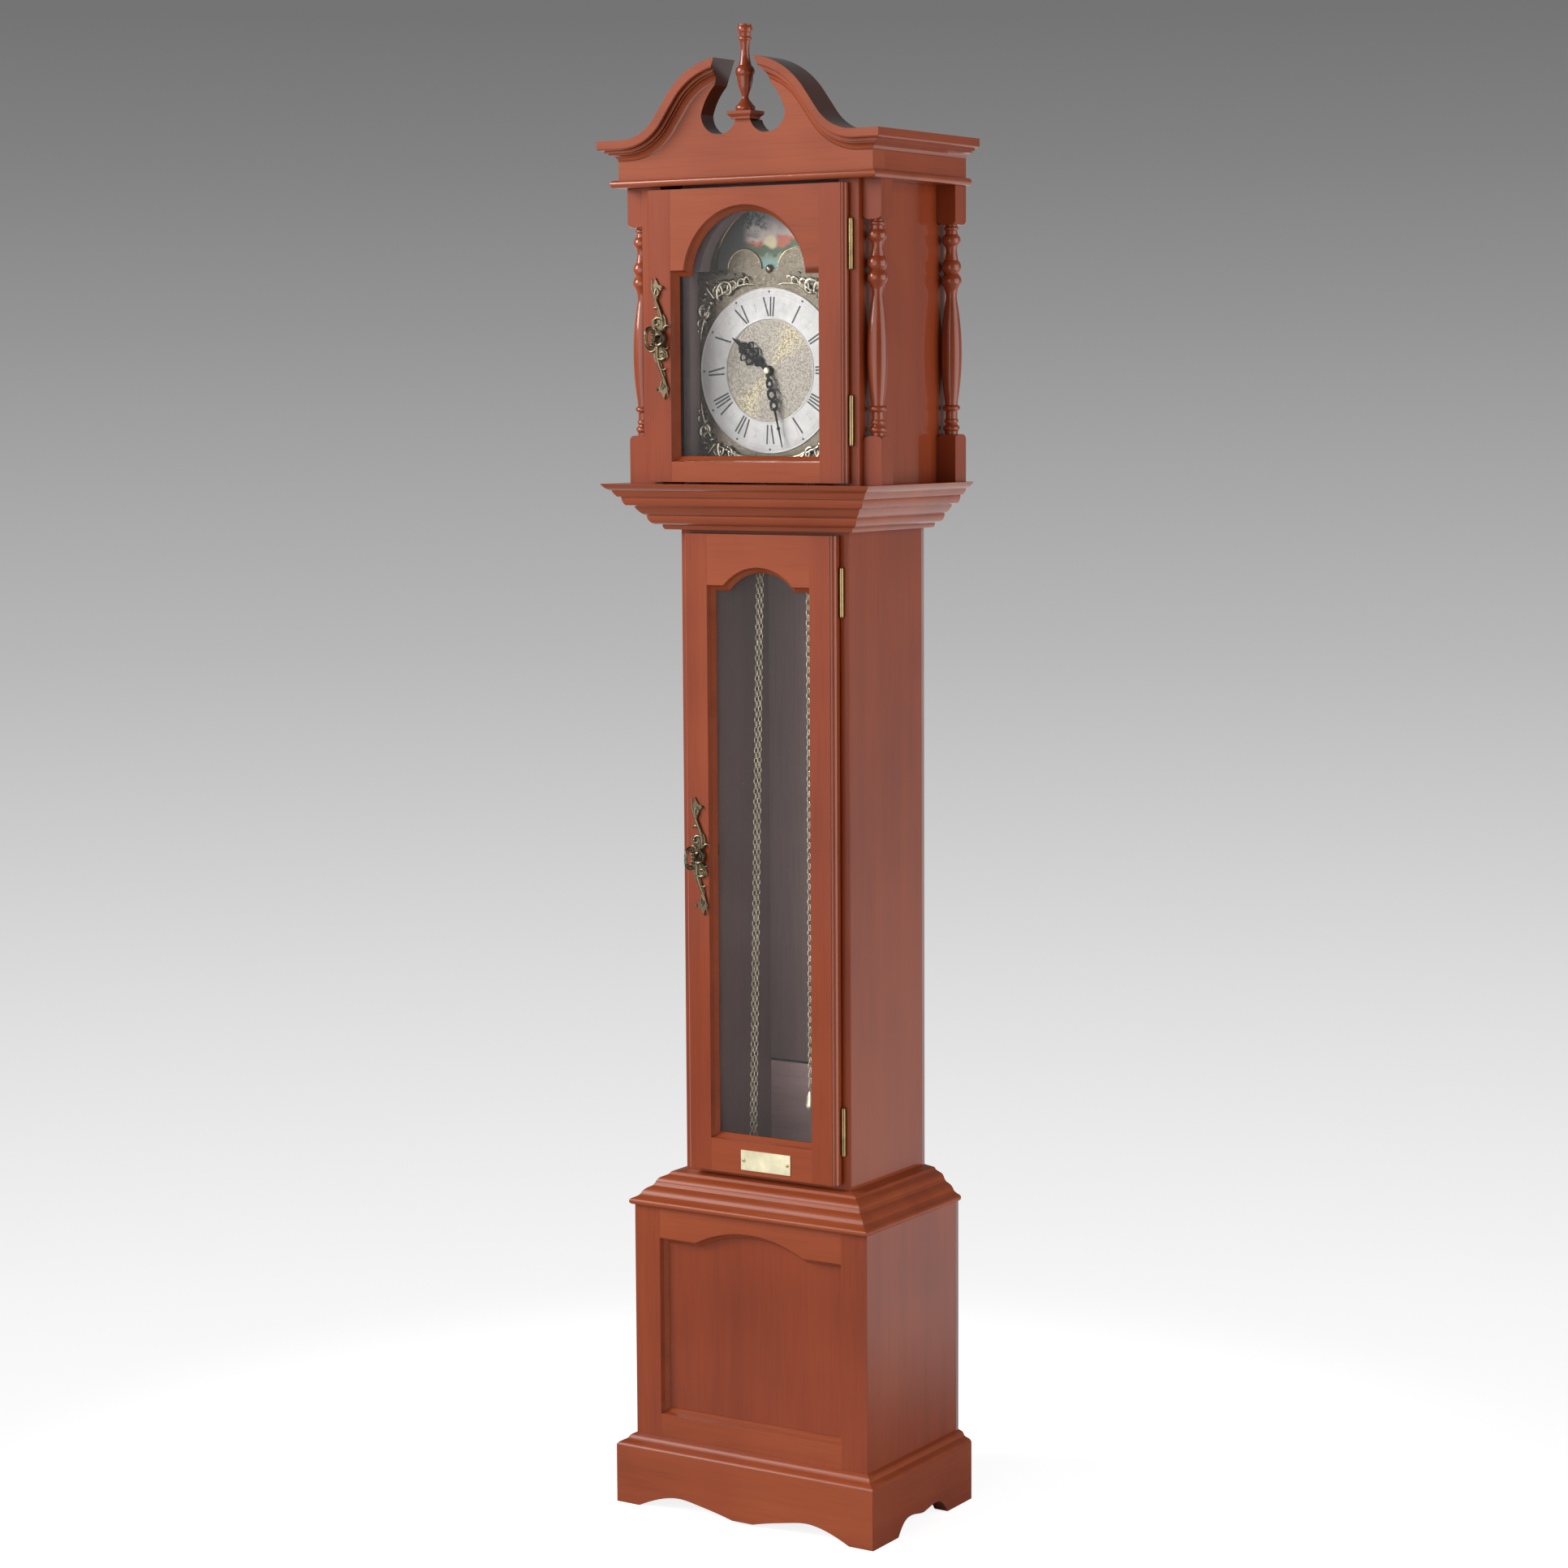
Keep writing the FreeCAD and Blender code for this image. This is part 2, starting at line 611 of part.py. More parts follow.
def column_rows():
    """Middle lines of the front and back columns."""
    half = column_square / 2
    return columns_front_y + half, back_y - half


def turned(shares, radius, height):
    """A solid of revolution about Z from (height share, radius share, bulge) points."""
    points = [(0, 0, 0), (shares[0][1] * radius, 0, 0)]
    points += [(r * radius, z * height, -bulge) for z, r, bulge in shares]
    points += [(shares[-1][1] * radius, height, 0), (0, height, 0)]
    points = [p for i, p in enumerate(points) if i == 0 or p[:2] != points[i - 1][:2]]
    return Part.Face(outline(points)).revolve(V(0, 0, 0), V(0, 0, 1), 360)


def shouldered_block(height):
    """A square column end whose upper corners are rounded off on the lathe."""
    half = column_square / 2
    corner = half * math.sqrt(2)
    block = box(-half, half, -half, half, 0, height)
    profile = [(0, 0, 0), (corner, 0, 0), (corner, height - column_shoulder, 0),
               (half, height, -shoulder_round_share), (0, height, 0)]
    return block.common(Part.Face(outline(profile)).revolve(V(0, 0, 0), V(0, 0, 1), 360))


def column(side, y):
    """One turned column with a square foot and head."""
    foot = shouldered_block(column_foot_square)
    head = shouldered_block(column_head_square)
    head.rotate(V(0, 0, 0), V(1, 0, 0), 180)
    head.translate(V(0, 0, column_height))
    shaft_height = column_height - column_foot_square - column_head_square
    shaft = turned(column_shares, column_square / 2, shaft_height)
    shaft.translate(V(0, 0, column_foot_square))
    whole = foot.fuse([shaft, head])
    whole.translate(V(side * (columns_half - column_square / 2), y, hood_base_z))
    return whole


# Frieze and pediment

def swan_path():
    """Top line of one swan neck, from the hood's corner up to its tip, on the right-hand side."""
    slope = math.radians(swan_slope)
    tip = math.radians(swan_tip_slope)
    lower_rise = swan_lower_radius * (1 - math.cos(slope))
    upper_rise = swan_upper_radius * (math.cos(tip) - math.cos(slope))
    straight = (swan_rise - lower_rise - upper_rise) / math.sin(slope)
    end = V(swan_gap_half, 0, cornice_top_z + swan_rise)
    hub = end + V(-swan_upper_radius * math.sin(tip), 0, -swan_upper_radius * math.cos(tip))
    crest = hub + V(swan_upper_radius * math.sin(slope), 0, swan_upper_radius * math.cos(slope))
    middle = (slope + tip) / 2
    crown = hub + V(swan_upper_radius * math.sin(middle), 0, swan_upper_radius * math.cos(middle))
    bend = crest + V(straight * math.cos(slope), 0, -straight * math.sin(slope))
    low = V(bend.x + swan_lower_radius * math.sin(slope), 0, cornice_top_z)
    pivot = low + V(0, 0, swan_lower_radius)
    dip = pivot + V(-swan_lower_radius * math.sin(slope / 2), 0, -swan_lower_radius * math.cos(slope / 2))
    return end, crown, crest, bend, dip, low


def swan_edges(start_x):
    """The swan neck's top line as edges, from start_x inwards and up."""
    end, crown, crest, bend, dip, low = swan_path()
    flat = Part.LineSegment(V(start_x, 0, cornice_top_z), low).toShape()
    rise = Part.Arc(low, dip, bend).toShape()
    climb = Part.LineSegment(bend, crest).toShape()
    top = Part.Arc(crest, crown, end).toShape()
    return [flat, rise, climb, top]


def scroll_pocket():
    """The space between a swan neck and the middle pedestal, as a cutter."""
    tip_z = cornice_top_z + swan_rise
    foot_z = cornice_top_z + pedestal_height
    centre = V(pocket_centre_x, 0, cornice_top_z + pocket_centre_rise)
    low = centre + V(0, 0, -pocket_radius)
    start = V(pedestal_half, 0, foot_z)
    outer = centre + V(pocket_radius, 0, 0)
    neck = V(pocket_neck_x, 0, tip_z - pocket_neck_drop)
    tip = V(swan_gap_half, 0, tip_z)
    turn = centre + V(pocket_radius * math.cos(math.pi / 4), 0, -pocket_radius * math.sin(math.pi / 4))
    swell = (outer + neck) * 0.5 + V(pocket_radius * pocket_swell_share, 0, 0)
    dip = pocket_radius * pocket_sweep_share
    sweep = (start + low) * 0.5 - V(dip, 0, dip)
    above = V(swan_gap_half, 0, tip_z + swan_rise)
    lines = [Part.Arc(start, sweep, low).toShape(), Part.Arc(low, turn, outer).toShape(),
             Part.Arc(outer, swell, neck).toShape(), Part.LineSegment(neck, tip).toShape(),
             Part.LineSegment(tip, above).toShape(), Part.LineSegment(above, V(0, 0, above.z)).toShape(),
             Part.LineSegment(V(0, 0, above.z), V(0, 0, foot_z)).toShape(),
             Part.LineSegment(V(0, 0, foot_z), start).toShape()]
    pediment_back = frieze_front_y + pediment_board
    return board(Part.Wire(lines), frieze_front_y - cut_overrun, pediment_back + cut_overrun)


def cornice_profile():
    """Section of the cornice, its top at zero."""
    return [(u * cornice_out, (v - 1) * cornice_drop, bulge) for u, v, bulge in cornice_shares]


def swan_neck(pocket):
    """One swept swan-neck moulding, mitred at the corner and cut by the scroll."""
    reach = cornice_out + cut_overrun
    start_x = frieze_half + cornice_out
    edges = swan_edges(start_x)
    section = outline(cornice_profile())
    section.rotate(V(0, 0, 0), V(0, 0, 1), -90)
    section.translate(V(start_x, 0, cornice_top_z))
    sweep = Part.BRepOffsetAPI.MakePipeShell(Part.Wire(edges))
    sweep.setBiNormalMode(V(0, 1, 0))
    sweep.add(section)
    sweep.build()
    sweep.makeSolid()
    neck = Part.Solid(sweep.shape())
    neck.translate(V(0, frieze_front_y, 0))
    wedge = mitre_front(frieze_half, frieze_front_y, reach)
    return neck.common(wedge).cut(pocket)


def build_top():
    pocket = scroll_pocket()
    edges = swan_edges(frieze_half)
    tip = edges[-1].Vertexes[-1].Point
    rim = [V(frieze_half, 0, cornice_top_z), V(frieze_half, 0, column_top_z), V(0, 0, column_top_z),
           V(0, 0, tip.z), tip]
    sides = [Part.LineSegment(a, b).toShape() for a, b in zip(rim, rim[1:])]
    face = Part.Wire(Part.__sortEdges__(edges + sides))
    half = board(face, frieze_front_y, frieze_front_y + pediment_board).cut(pocket)
    save("pediment_board", half.fuse(mirrored(half)).removeSplitter())
    neck = swan_neck(pocket)
    save("swan_neck_right", neck)
    save("swan_neck_left", mirrored(neck))
    inner = frieze_half - side_board
    side = box(inner, frieze_half, frieze_front_y + pediment_board, back_y, column_top_z, cornice_top_z)
    back = box(-inner, inner, back_y - side_board, back_y, column_top_z + hood_board, cornice_top_z)
    save("frieze_boards", mirrored(side), side, back)
    nose = bead_out - bead_height / 2
    bead = [(0, column_top_z, 0), (nose, column_top_z, 0), (nose, bead_top_z, -bead_round_share),
            (0, bead_top_z, 0)]
    save("frieze_bead", *moulding(bead, frieze_half, frieze_front_y, bead_out + cut_overrun))
    cornice = raised(cornice_profile(), cornice_top_z)
    save("side_cornices", *moulding(cornice, frieze_half, frieze_front_y, cornice_out + cut_overrun)[1:])
    build_finial()


def build_finial():
    seat = cornice_top_z + pedestal_height
    cap_y = frieze_front_y - finial_cap_front + finial_cap_depth / 2
    sections = []
    for step_share, height_share in finial_cap_shares:
        x = finial_cap_width / 2 - finial_cap_step * step_share
        y = finial_cap_depth / 2 - finial_cap_step * step_share
        z = seat + finial_cap_height * height_share
        corners = [V(-x, cap_y - y, z), V(x, cap_y - y, z), V(x, cap_y + y, z), V(-x, cap_y + y, z)]
        sections.append(Part.makePolygon(corners + corners[:1]))
    save("finial_block", Part.makeLoft(sections, True, True))
    finial = turned(finial_shares, finial_radius, finial_height)
    finial.translate(V(0, cap_y, seat + finial_cap_height))
    save("finial", finial)


# Doors

def pull_hole(x, z, front_y, thickness):
    """The spindle's hole through a door stile."""
    back = front_y + thickness + cut_overrun
    return rod(spindle_radius + running_clearance, V(x, front_y - cut_overrun, z), V(x, back, z))


def door_edge(half, front_y, bottom, top):
    """What the moulding plane takes off a door's right-hand edge: a step, then a quarter round."""
    face_x = half - door_edge_width
    step_y, end_y = front_y + door_edge_quirk, front_y + door_edge_depth
    near_y, far_x = front_y - cut_overrun, half + cut_overrun
    points = [(face_x, -near_y, 0), (face_x, -step_y, 0), (half, -end_y, edge_round_share),
              (far_x, -end_y, 0), (far_x, -near_y, 0)]
    wire = outline(points)
    wire.rotate(V(0, 0, 0), V(1, 0, 0), 90)
    wire.translate(V(0, 0, bottom))
    return Part.Face(wire).extrude(V(0, 0, top - bottom))


def build_door(name, half, bottom, top, sizes, front_y, lip, pull_x, pull_z):
    """Frame and glass of one door; its lip laps over the case and its back stands in the opening."""
    inner, back_y0, back_y1 = half - door_lip_width, front_y + lip, front_y + door_thickness
    frame = box(-half, half, front_y, back_y0, bottom, top)
    back = box(-inner, inner, back_y0, back_y1, bottom + door_lip_width, top - door_lip_width)
    shaving = door_edge(half, front_y, bottom, top)
    frame = frame.fuse(back).cut([shaving, mirrored(shaving), window_cut(sizes, front_y, door_thickness)])
    frame = frame.cut(pull_hole(pull_x, pull_z, front_y, door_thickness))
    save(name + "_frame", *split_frame(frame, sizes[0], sizes[1], sizes[4]))
    pane_y = front_y + sticking_depth
    save(name + "_glass", rebate_box(sizes, pane_y, pane_y + glass_thickness, running_clearance))


def hinge_part(axis_x, axis_y, z0, z1, leaf_y, bore, half_height):
    """Knuckles between heights z0 and z1 with the strip that ties them to a leaf."""
    knuckle = Part.makeCylinder(knuckle_radius, z1 - z0, V(axis_x, axis_y, z0))
    tie = box(axis_x - knuckle_radius - part_clearance, axis_x, leaf_y, leaf_y + leaf_thickness, z0, z1)
    hole = Part.makeCylinder(bore, half_height * 2, V(axis_x, axis_y, z0 - half_height / 2))
    return knuckle.fuse(tie).cut(hole)


def hinge(door_half, case_y, middle):
    """Case leaf, door leaf and pin of one butt hinge."""
    axis_x = door_half + door_edge_to_axis
    axis_y = case_y - knuckle_radius - part_clearance
    case_leaf_y = case_y - leaf_thickness
    door_leaf_y = case_y - door_gap
    half = hinge_length / 2
    third = hinge_length / 6
    leaf_end = axis_x - knuckle_radius - part_clearance
    low, high = middle - half, middle + half
    bore = hinge_pin_radius
    case_leaf = box(leaf_end - leaf_width, leaf_end, case_leaf_y, case_y, low, high)
    case_leaf = case_leaf.fuse([hinge_part(axis_x, axis_y, low, middle - third, case_leaf_y, bore, half),
                                hinge_part(axis_x, axis_y, middle + third, high, case_leaf_y, bore, half)])
    door_leaf = box(leaf_end - leaf_width, leaf_end, door_leaf_y, door_leaf_y + leaf_thickness, low, high)
    inner_low, inner_high = middle - third + part_clearance, middle + third - part_clearance
    door_leaf = door_leaf.fuse(hinge_part(axis_x, axis_y, inner_low, inner_high, door_leaf_y,
                                          bore + running_clearance, half))
    pin = Part.makeCylinder(bore, hinge_length, V(axis_x, axis_y, low))
    return case_leaf, door_leaf, pin


def pull_plate(x, z, front_y):
    """Leaf-scroll backplate with a round boss, pierced for the spindle."""
    half = scaled(scroll_shares, pull_plate_width, pull_plate_height)
    turn = [(-x0, -z0, bulge) for x0, z0, bulge in half]
    plate = board(outline(half + turn), front_y - pull_plate_thickness, front_y)
    plate.translate(V(x, 0, z))
    boss = rod(pull_boss_radius, V(x, front_y - pull_boss_depth, z), V(x, front_y, z))
    return plate.fuse(boss).cut(pull_hole(x, z, front_y - cut_overrun, 0))


def pull_bow(x, z, tip_y, root_y, wire):
    """The oval ring that the fingers hold."""
    radius = (root_y - tip_y) / 2 - wire
    lift = pull_bow_height / 2 - wire - radius
    y = (tip_y + root_y) / 2
    bars = [rod(wire, V(x, bar_y, z - lift), V(x, bar_y, z + lift)) for bar_y in (y - radius, y + radius)]
    wide = box(x - radius, x + radius, tip_y, root_y, z + lift, z + pull_bow_height)
    top = Part.makeTorus(radius, wire, V(x, y, z + lift), V(1, 0, 0)).common(wide)
    bottom = top.mirror(V(0, 0, z), V(0, 0, 1))
    return top.fuse(bars + [bottom]).removeSplitter()


def pull(x, z, front_y, tongue_y):
    """Bow, spindle and tongue of one turning pull; the tongue stands upright, clear of the case stile."""
    tip_y = front_y - pull_reach
    wire = pull_bow_wire / 2
    root_y = tip_y + pull_bow_depth
    bow = pull_bow(x, z, tip_y, root_y, wire)
    spindle = rod(spindle_radius, V(x, root_y - wire, z), V(x, tongue_y + tongue_thickness, z))
    tongue = box(x - tongue_width / 2, x + tongue_width / 2, tongue_y, tongue_y + tongue_thickness,
                 z - tongue_width / 2, z + tongue_length)
    return bow.fuse([spindle, tongue])


def build_doors():
    hood_sizes = (hood_window_half, hood_window_bottom, hood_window_shoulder, hood_arch_half, hood_arch_top)
    trunk_sizes = (trunk_window_half, trunk_window_bottom, trunk_window_shoulder, trunk_arch_half,
                   trunk_arch_top)
    hood_pull_x = -hood_door_half + hood_pull_inset
    trunk_pull_x = -trunk_door_half + trunk_pull_inset
    build_door("hood_door", hood_door_half, hood_door_bottom, hood_door_top, hood_sizes, hood_door_front_y,
               hood_door_lip, hood_pull_x, hood_pull_height)
    build_door("trunk_door", trunk_door_half, trunk_door_bottom, trunk_door_top, trunk_sizes,
               trunk_door_front_y, trunk_door_lip, trunk_pull_x, trunk_pull_height)
    hood_heights = (hood_door_bottom + hood_hinge_low_inset, hood_door_top - hood_hinge_high_inset)
    trunk_heights = (trunk_door_bottom + trunk_hinge_low_inset, trunk_door_top - trunk_hinge_high_inset)
    hood_hinges = [hinge(hood_door_half, hood_front_y, z) for z in hood_heights]
    trunk_hinges = [hinge(trunk_door_half, trunk_front_y, z) for z in trunk_heights]
    both = hood_hinges + trunk_hinges
    save("hinge_case_leaves", *[case for case, door, pin in both], *[pin for case, door, pin in both])
    save("hood_hinge_leaves", *[door for case, door, pin in hood_hinges])
    save("trunk_hinge_leaves", *[door for case, door, pin in trunk_hinges])
    save("hood_pull_plate", pull_plate(hood_pull_x, hood_pull_height, hood_door_front_y))
    save("trunk_pull_plate", pull_plate(trunk_pull_x, trunk_pull_height, trunk_door_front_y))
    tongue_back = stile_board + tongue_clearance
    hood_tongue_y, trunk_tongue_y = hood_front_y + tongue_back, trunk_front_y + tongue_back
    save("hood_pull", pull(hood_pull_x, hood_pull_height, hood_door_front_y, hood_tongue_y))
    save("trunk_pull", pull(trunk_pull_x, trunk_pull_height, trunk_door_front_y, trunk_tongue_y))
    left = name_plate_offset - name_plate_width / 2
    low = trunk_door_bottom + name_plate_rise - name_plate_height / 2
    plate_front = trunk_door_front_y - name_plate_thickness
    save("name_plate", box(left, left + name_plate_width, plate_front, trunk_door_front_y,
                           low, low + name_plate_height))


# Dial and movement

def arched(half, bottom, radius):
    """Outline with straight sides and a round head about the dial arch's centre."""
    reach = math.sqrt(radius ** 2 - (hood_window_shoulder - dial_arch_centre) ** 2)
    left = [V(-half, 0, bottom), V(-half, 0, hood_window_shoulder), V(-reach, 0, hood_window_shoulder)]
    right = [V(-p.x, 0, p.z) for p in reversed(left)]
    edges = [Part.LineSegment(a, b).toShape() for a, b in zip(left, left[1:])]
    edges.append(Part.Arc(left[-1], V(0, 0, dial_arch_centre + radius), right[0]).toShape())
    edges += [Part.LineSegment(a, b).toShape() for a, b in zip(right, right[1:])]
    edges.append(Part.LineSegment(right[-1], left[0]).toShape())
    return Part.Wire(edges)


def disc(radius, x, z, y0, y1):
    """A round plate facing forward."""
    return rod(radius, V(x, y0, z), V(x, y1, z))


def spandrel(plate_y):
    """A cast corner ornament of the dial, upper right: leafy lobes that shrink away from the corner."""
    front = plate_y - spandrel_height
    left = mask_half - spandrel_gap - spandrel_size
    low = hood_window_shoulder - spandrel_gap - spandrel_size
    places = spandrel_lobe_shares + [(v, u, r) for u, v, r in spandrel_lobe_shares[1:]]
    lobes = [disc(r * spandrel_size, left + u * spandrel_size, low + v * spandrel_size, front, plate_y)
             for u, v, r in places]
    ring = disc(chapter_radius + spandrel_gap, 0, dial_centre_z, front, plate_y)
    return lobes[0].fuse(lobes[1:]).cut(ring)


def moon_window(y0, y1):
    """The opening that shows the moon: a half circle less two humps and the lug of the moon's stud."""
    half = mask_half + mask_wall
    opening = disc(moon_aperture_radius, 0, moon_centre_z, y0, y1)
    opening = opening.common(box(-half, half, y0, y1, moon_centre_z, cornice_top_z))
    humps = [disc(hump_radius, x, moon_centre_z, y0, y1) for x in (-hump_centre, hump_centre)]
    return opening.cut(humps + [disc(moon_lug_radius, 0, moon_centre_z, y0, y1)])


def build_dial():
    plate_y = dial_front_y + chapter_thickness
    mask_front = plate_y - mask_depth
    near, far = mask_front - cut_overrun, plate_y + cut_overrun
    outer = mask_half + mask_wall
    mask = box(-outer, outer, mask_front, plate_y, hood_base_z, column_top_z)
    hole = board(arched(mask_half, hood_base_z - cut_overrun, mask_arch_radius), near, far)
    save("dial_mask", mask.cut(hole))
    plate_low = hood_window_bottom - plate_bottom_drop
    plate = board(arched(mask_half + plate_lap, plate_low, mask_arch_radius + plate_lap),
                  plate_y, plate_y + plate_thickness)
    plate = plate.cut([moon_window(near, far), disc(dial_hole_radius, 0, dial_centre_z, near, far)])
    moon_y = plate_y + plate_thickness + moon_gap
    moon_back = moon_y + moon_thickness
    stud = disc(moon_stud_radius, 0, moon_centre_z, plate_y, moon_back + part_clearance)
    boss = disc(moon_boss_radius, 0, moon_centre_z, plate_y - moon_boss_height, plate_y)
    save("dial_plate", plate.fuse([stud, boss]))
    ring = disc(chapter_radius, 0, dial_centre_z, dial_front_y, plate_y)
    save("chapter_ring", ring.cut(disc(chapter_inner_radius, 0, dial_centre_z, near, far)))
    face = disc(chapter_inner_radius - part_clearance, 0, dial_centre_z, plate_y - centre_thickness, plate_y)
    save("dial_centre", face.cut(disc(dial_hole_radius, 0, dial_centre_z, near, far)))
    moon = disc(moon_radius, 0, moon_centre_z, moon_y, moon_back)
    save("moon_disc", moon.cut(disc(moon_stud_radius + running_clearance, 0, moon_centre_z, near, far)))
    build_spandrels(plate_y)


def build_spandrels(plate_y):
    upper = spandrel(plate_y)
    lower = upper.mirror(V(0, 0, dial_centre_z), V(0, 0, 1))
    save("spandrels", upper, lower, mirrored(upper), mirrored(lower))


def hand(shares, hole_shares, length, angle, y, collar, bore):
    """A pierced hand on a round collar, turned clockwise from twelve."""
    half = scaled(shares, length, length)
    bulges = [0] + [bulge for x, z, bulge in reversed(half[1:])]
    other = [(-point[0], point[1], bulge) for point, bulge in zip(reversed(half), bulges)]
    back = y + hand_thickness
    blade = board(outline(half + other), y, back)
    places = {(side * u, v, r) for u, v, r in hole_shares for side in (-1, 1)}
    holes = [disc(r * length, u * length, v * length, y, back) for u, v, r in sorted(places)]
    body = blade.fuse(disc(collar, 0, 0, y, back)).cut(holes + [disc(bore, 0, 0, y, back)])
    body.rotate(V(0, 0, 0), V(0, 1, 0), angle)
    body.translate(V(0, 0, dial_centre_z))
    return body


def build_hands():
    plate_back = dial_front_y + chapter_thickness + plate_thickness
    hour_y = dial_front_y - hour_hand_stand
    minute_y = dial_front_y - minute_hand_stand
    arbor_end = plate_back + movement_gap + movement_plate + part_clearance
    bore = minute_arbor_radius + running_clearance
    pipe = disc(hour_pipe_radius, 0, dial_centre_z, hour_y, plate_back + movement_gap - part_clearance)
    pipe = pipe.cut(disc(bore, 0, dial_centre_z, hour_y, plate_back + movement_gap))
    hour = hand(hour_shares, hour_hole_shares, hour_hand_length, hour_hand_angle, hour_y,
                hour_pipe_radius + part_clearance, bore)
    save("hour_hand", hour.fuse(pipe))
    arbor = disc(minute_arbor_radius, 0, dial_centre_z, minute_y, arbor_end)
    minute = hand(minute_shares, minute_hole_shares, minute_hand_length, minute_hand_angle, minute_y,
                  hand_nut_radius, minute_arbor_radius)
    save("minute_hand", minute.fuse(arbor))
    save("hand_nut", disc(hand_nut_radius, 0, dial_centre_z, minute_y - hand_nut_height, minute_y))


def strand(x, side, lean, drop, y):
    """Where one strand leaves its wheel and where it ends; it leans to the right by an angle."""
    angle = math.radians(lean)
    reach = side * chain_pitch_radius
    end_z = chain_wheel_z - drop
    start = V(x + reach * math.cos(angle), y, chain_wheel_z + reach * math.sin(angle))
    return start, V(start.x + (start.z - end_z) * math.tan(angle), y, end_z)


def chain(left, right, x):
    """One chain as the plain round bar that its links lie in: up, over its wheel, and down."""
    crown = V(x, left[0].y, chain_wheel_z + chain_pitch_radius)
    up = Part.LineSegment(left[1], left[0]).toShape()
    over = Part.Arc(left[0], crown, right[0]).toShape()
    down = Part.LineSegment(right[0], right[1]).toShape()
    path = Part.Wire([up, over, down])
    section = Part.Wire(Part.makeCircle(chain_radius, left[1], left[0] - left[1]))
    return path.makePipeShell([section], True, False)


def chain_end(place):
    """A pear-shaped weight on a chain's free end."""
    pear = turned(chain_end_shares, chain_end_radius, chain_end_length)
    pear.translate(place - V(0, 0, chain_end_length))
    return pear


def chain_wheel(x, y, front_y, rear_y):
    """A flanged chain wheel on its arbor, pivoted between the movement plates."""
    core = chain_pitch_radius - chain_radius - chain_gap
    half = chain_radius + chain_gap
    wheel = disc(core, x, chain_wheel_z, y - half, y + half)
    flanges = [disc(wheel_flange_radius, x, chain_wheel_z, start, start + wheel_flange)
               for start in (y + half, y - half - wheel_flange)]
    arbor = disc(wheel_arbor_radius, x, chain_wheel_z, front_y + part_clearance, rear_y - part_clearance)
    pivots = disc(wheel_pivot_radius, x, chain_wheel_z, front_y - movement_plate, rear_y + movement_plate)
    return wheel.fuse(flanges + [arbor, pivots])


def build_movement():
    front = dial_front_y + chapter_thickness + plate_thickness + movement_gap
    front_inner = front + movement_plate
    rear_inner = front + movement_depth - movement_plate
    rear = front + movement_depth
    half = movement_half
    seat_top = seat_board_top
    chain_y = (front + rear) / 2
    pivot_hole = wheel_pivot_radius + running_clearance
    holes = [disc(pivot_hole, side * train_spacing, chain_wheel_z, front, rear) for side in (-1, 0, 1)]
    arbor_hole = disc(minute_arbor_radius + running_clearance, 0, dial_centre_z, front, front_inner)
    plates_top = seat_top + movement_height
    front_plate = box(-half, half, front, front_inner, seat_top, plates_top).cut(holes + [arbor_hole])
    rear_plate = box(-half, half, rear_inner, rear, seat_top, plates_top).cut(holes)
    save("movement_plates", front_plate, rear_plate)
    posts = []
    dial_back = front - movement_gap
    for x in (-half + pillar_inset, half - pillar_inset):
        for z in (seat_top + pillar_inset, plates_top - pillar_inset):
            posts.append(disc(pillar_radius, x, z, front_inner, rear_inner))
            posts.append(disc(dial_foot_radius, x, z, dial_back, front))
    save("movement_pillars", *posts)
    names = {-1: "chain_wheel_left", 0: "chain_wheel_centre", 1: "chain_wheel_right"}
    for side, name in names.items():
        save(name, chain_wheel(side * train_spacing, chain_y, front_inner, rear_inner))
    build_seat(chain_y)
    build_chains(chain_y)


def build_seat(chain_y):
    inner = hood_half - hood_board
    reach = seat_board_depth / 2
    low, top = seat_board_top - shelf_board, seat_board_top
    seat = box(-inner, inner, chain_y - reach, chain_y + reach, low, top)
    room = seat_slot_width / 2
    outer = train_spacing + chain_pitch_radius + room
    near = chain_pitch_radius - room
    slot = box(near, outer, chain_y - room, chain_y + room, low, top)
    save("seat_board", seat.cut(slot).cut(mirrored(slot)))


def build_chains(y):
    lean = chain_lean_angle
    far_left = strand(-train_spacing, -1, 0, chain_stop_drop, y)
    near_left = strand(-train_spacing, 1, -lean, chain_long_drop, y)
    middle_left = strand(0, -1, -lean, chain_middle_drop, y)
    middle_right = strand(0, 1, 0, chain_short_drop, y)
    near_right = strand(train_spacing, -1, lean, chain_long_drop, y)
    far_right = strand(train_spacing, 1, 0, chain_stop_drop, y)
    save("chains", chain(far_left, near_left, -train_spacing), chain(middle_left, middle_right, 0),
         chain(near_right, far_right, train_spacing))
    save("chain_ends", *[chain_end(end) for start, end in (near_left, middle_right, near_right)])


build_plinth()
build_base()
build_trunk()
build_hood()
build_top()
build_doors()
build_dial()
build_hands()
build_movement()
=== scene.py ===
"""Looks of a grandmother clock: lacquered mahogany case, brass fittings, silvered moon dial and chains."""
import bpy
import bmesh
import json
import math
from mathutils import Matrix, Vector


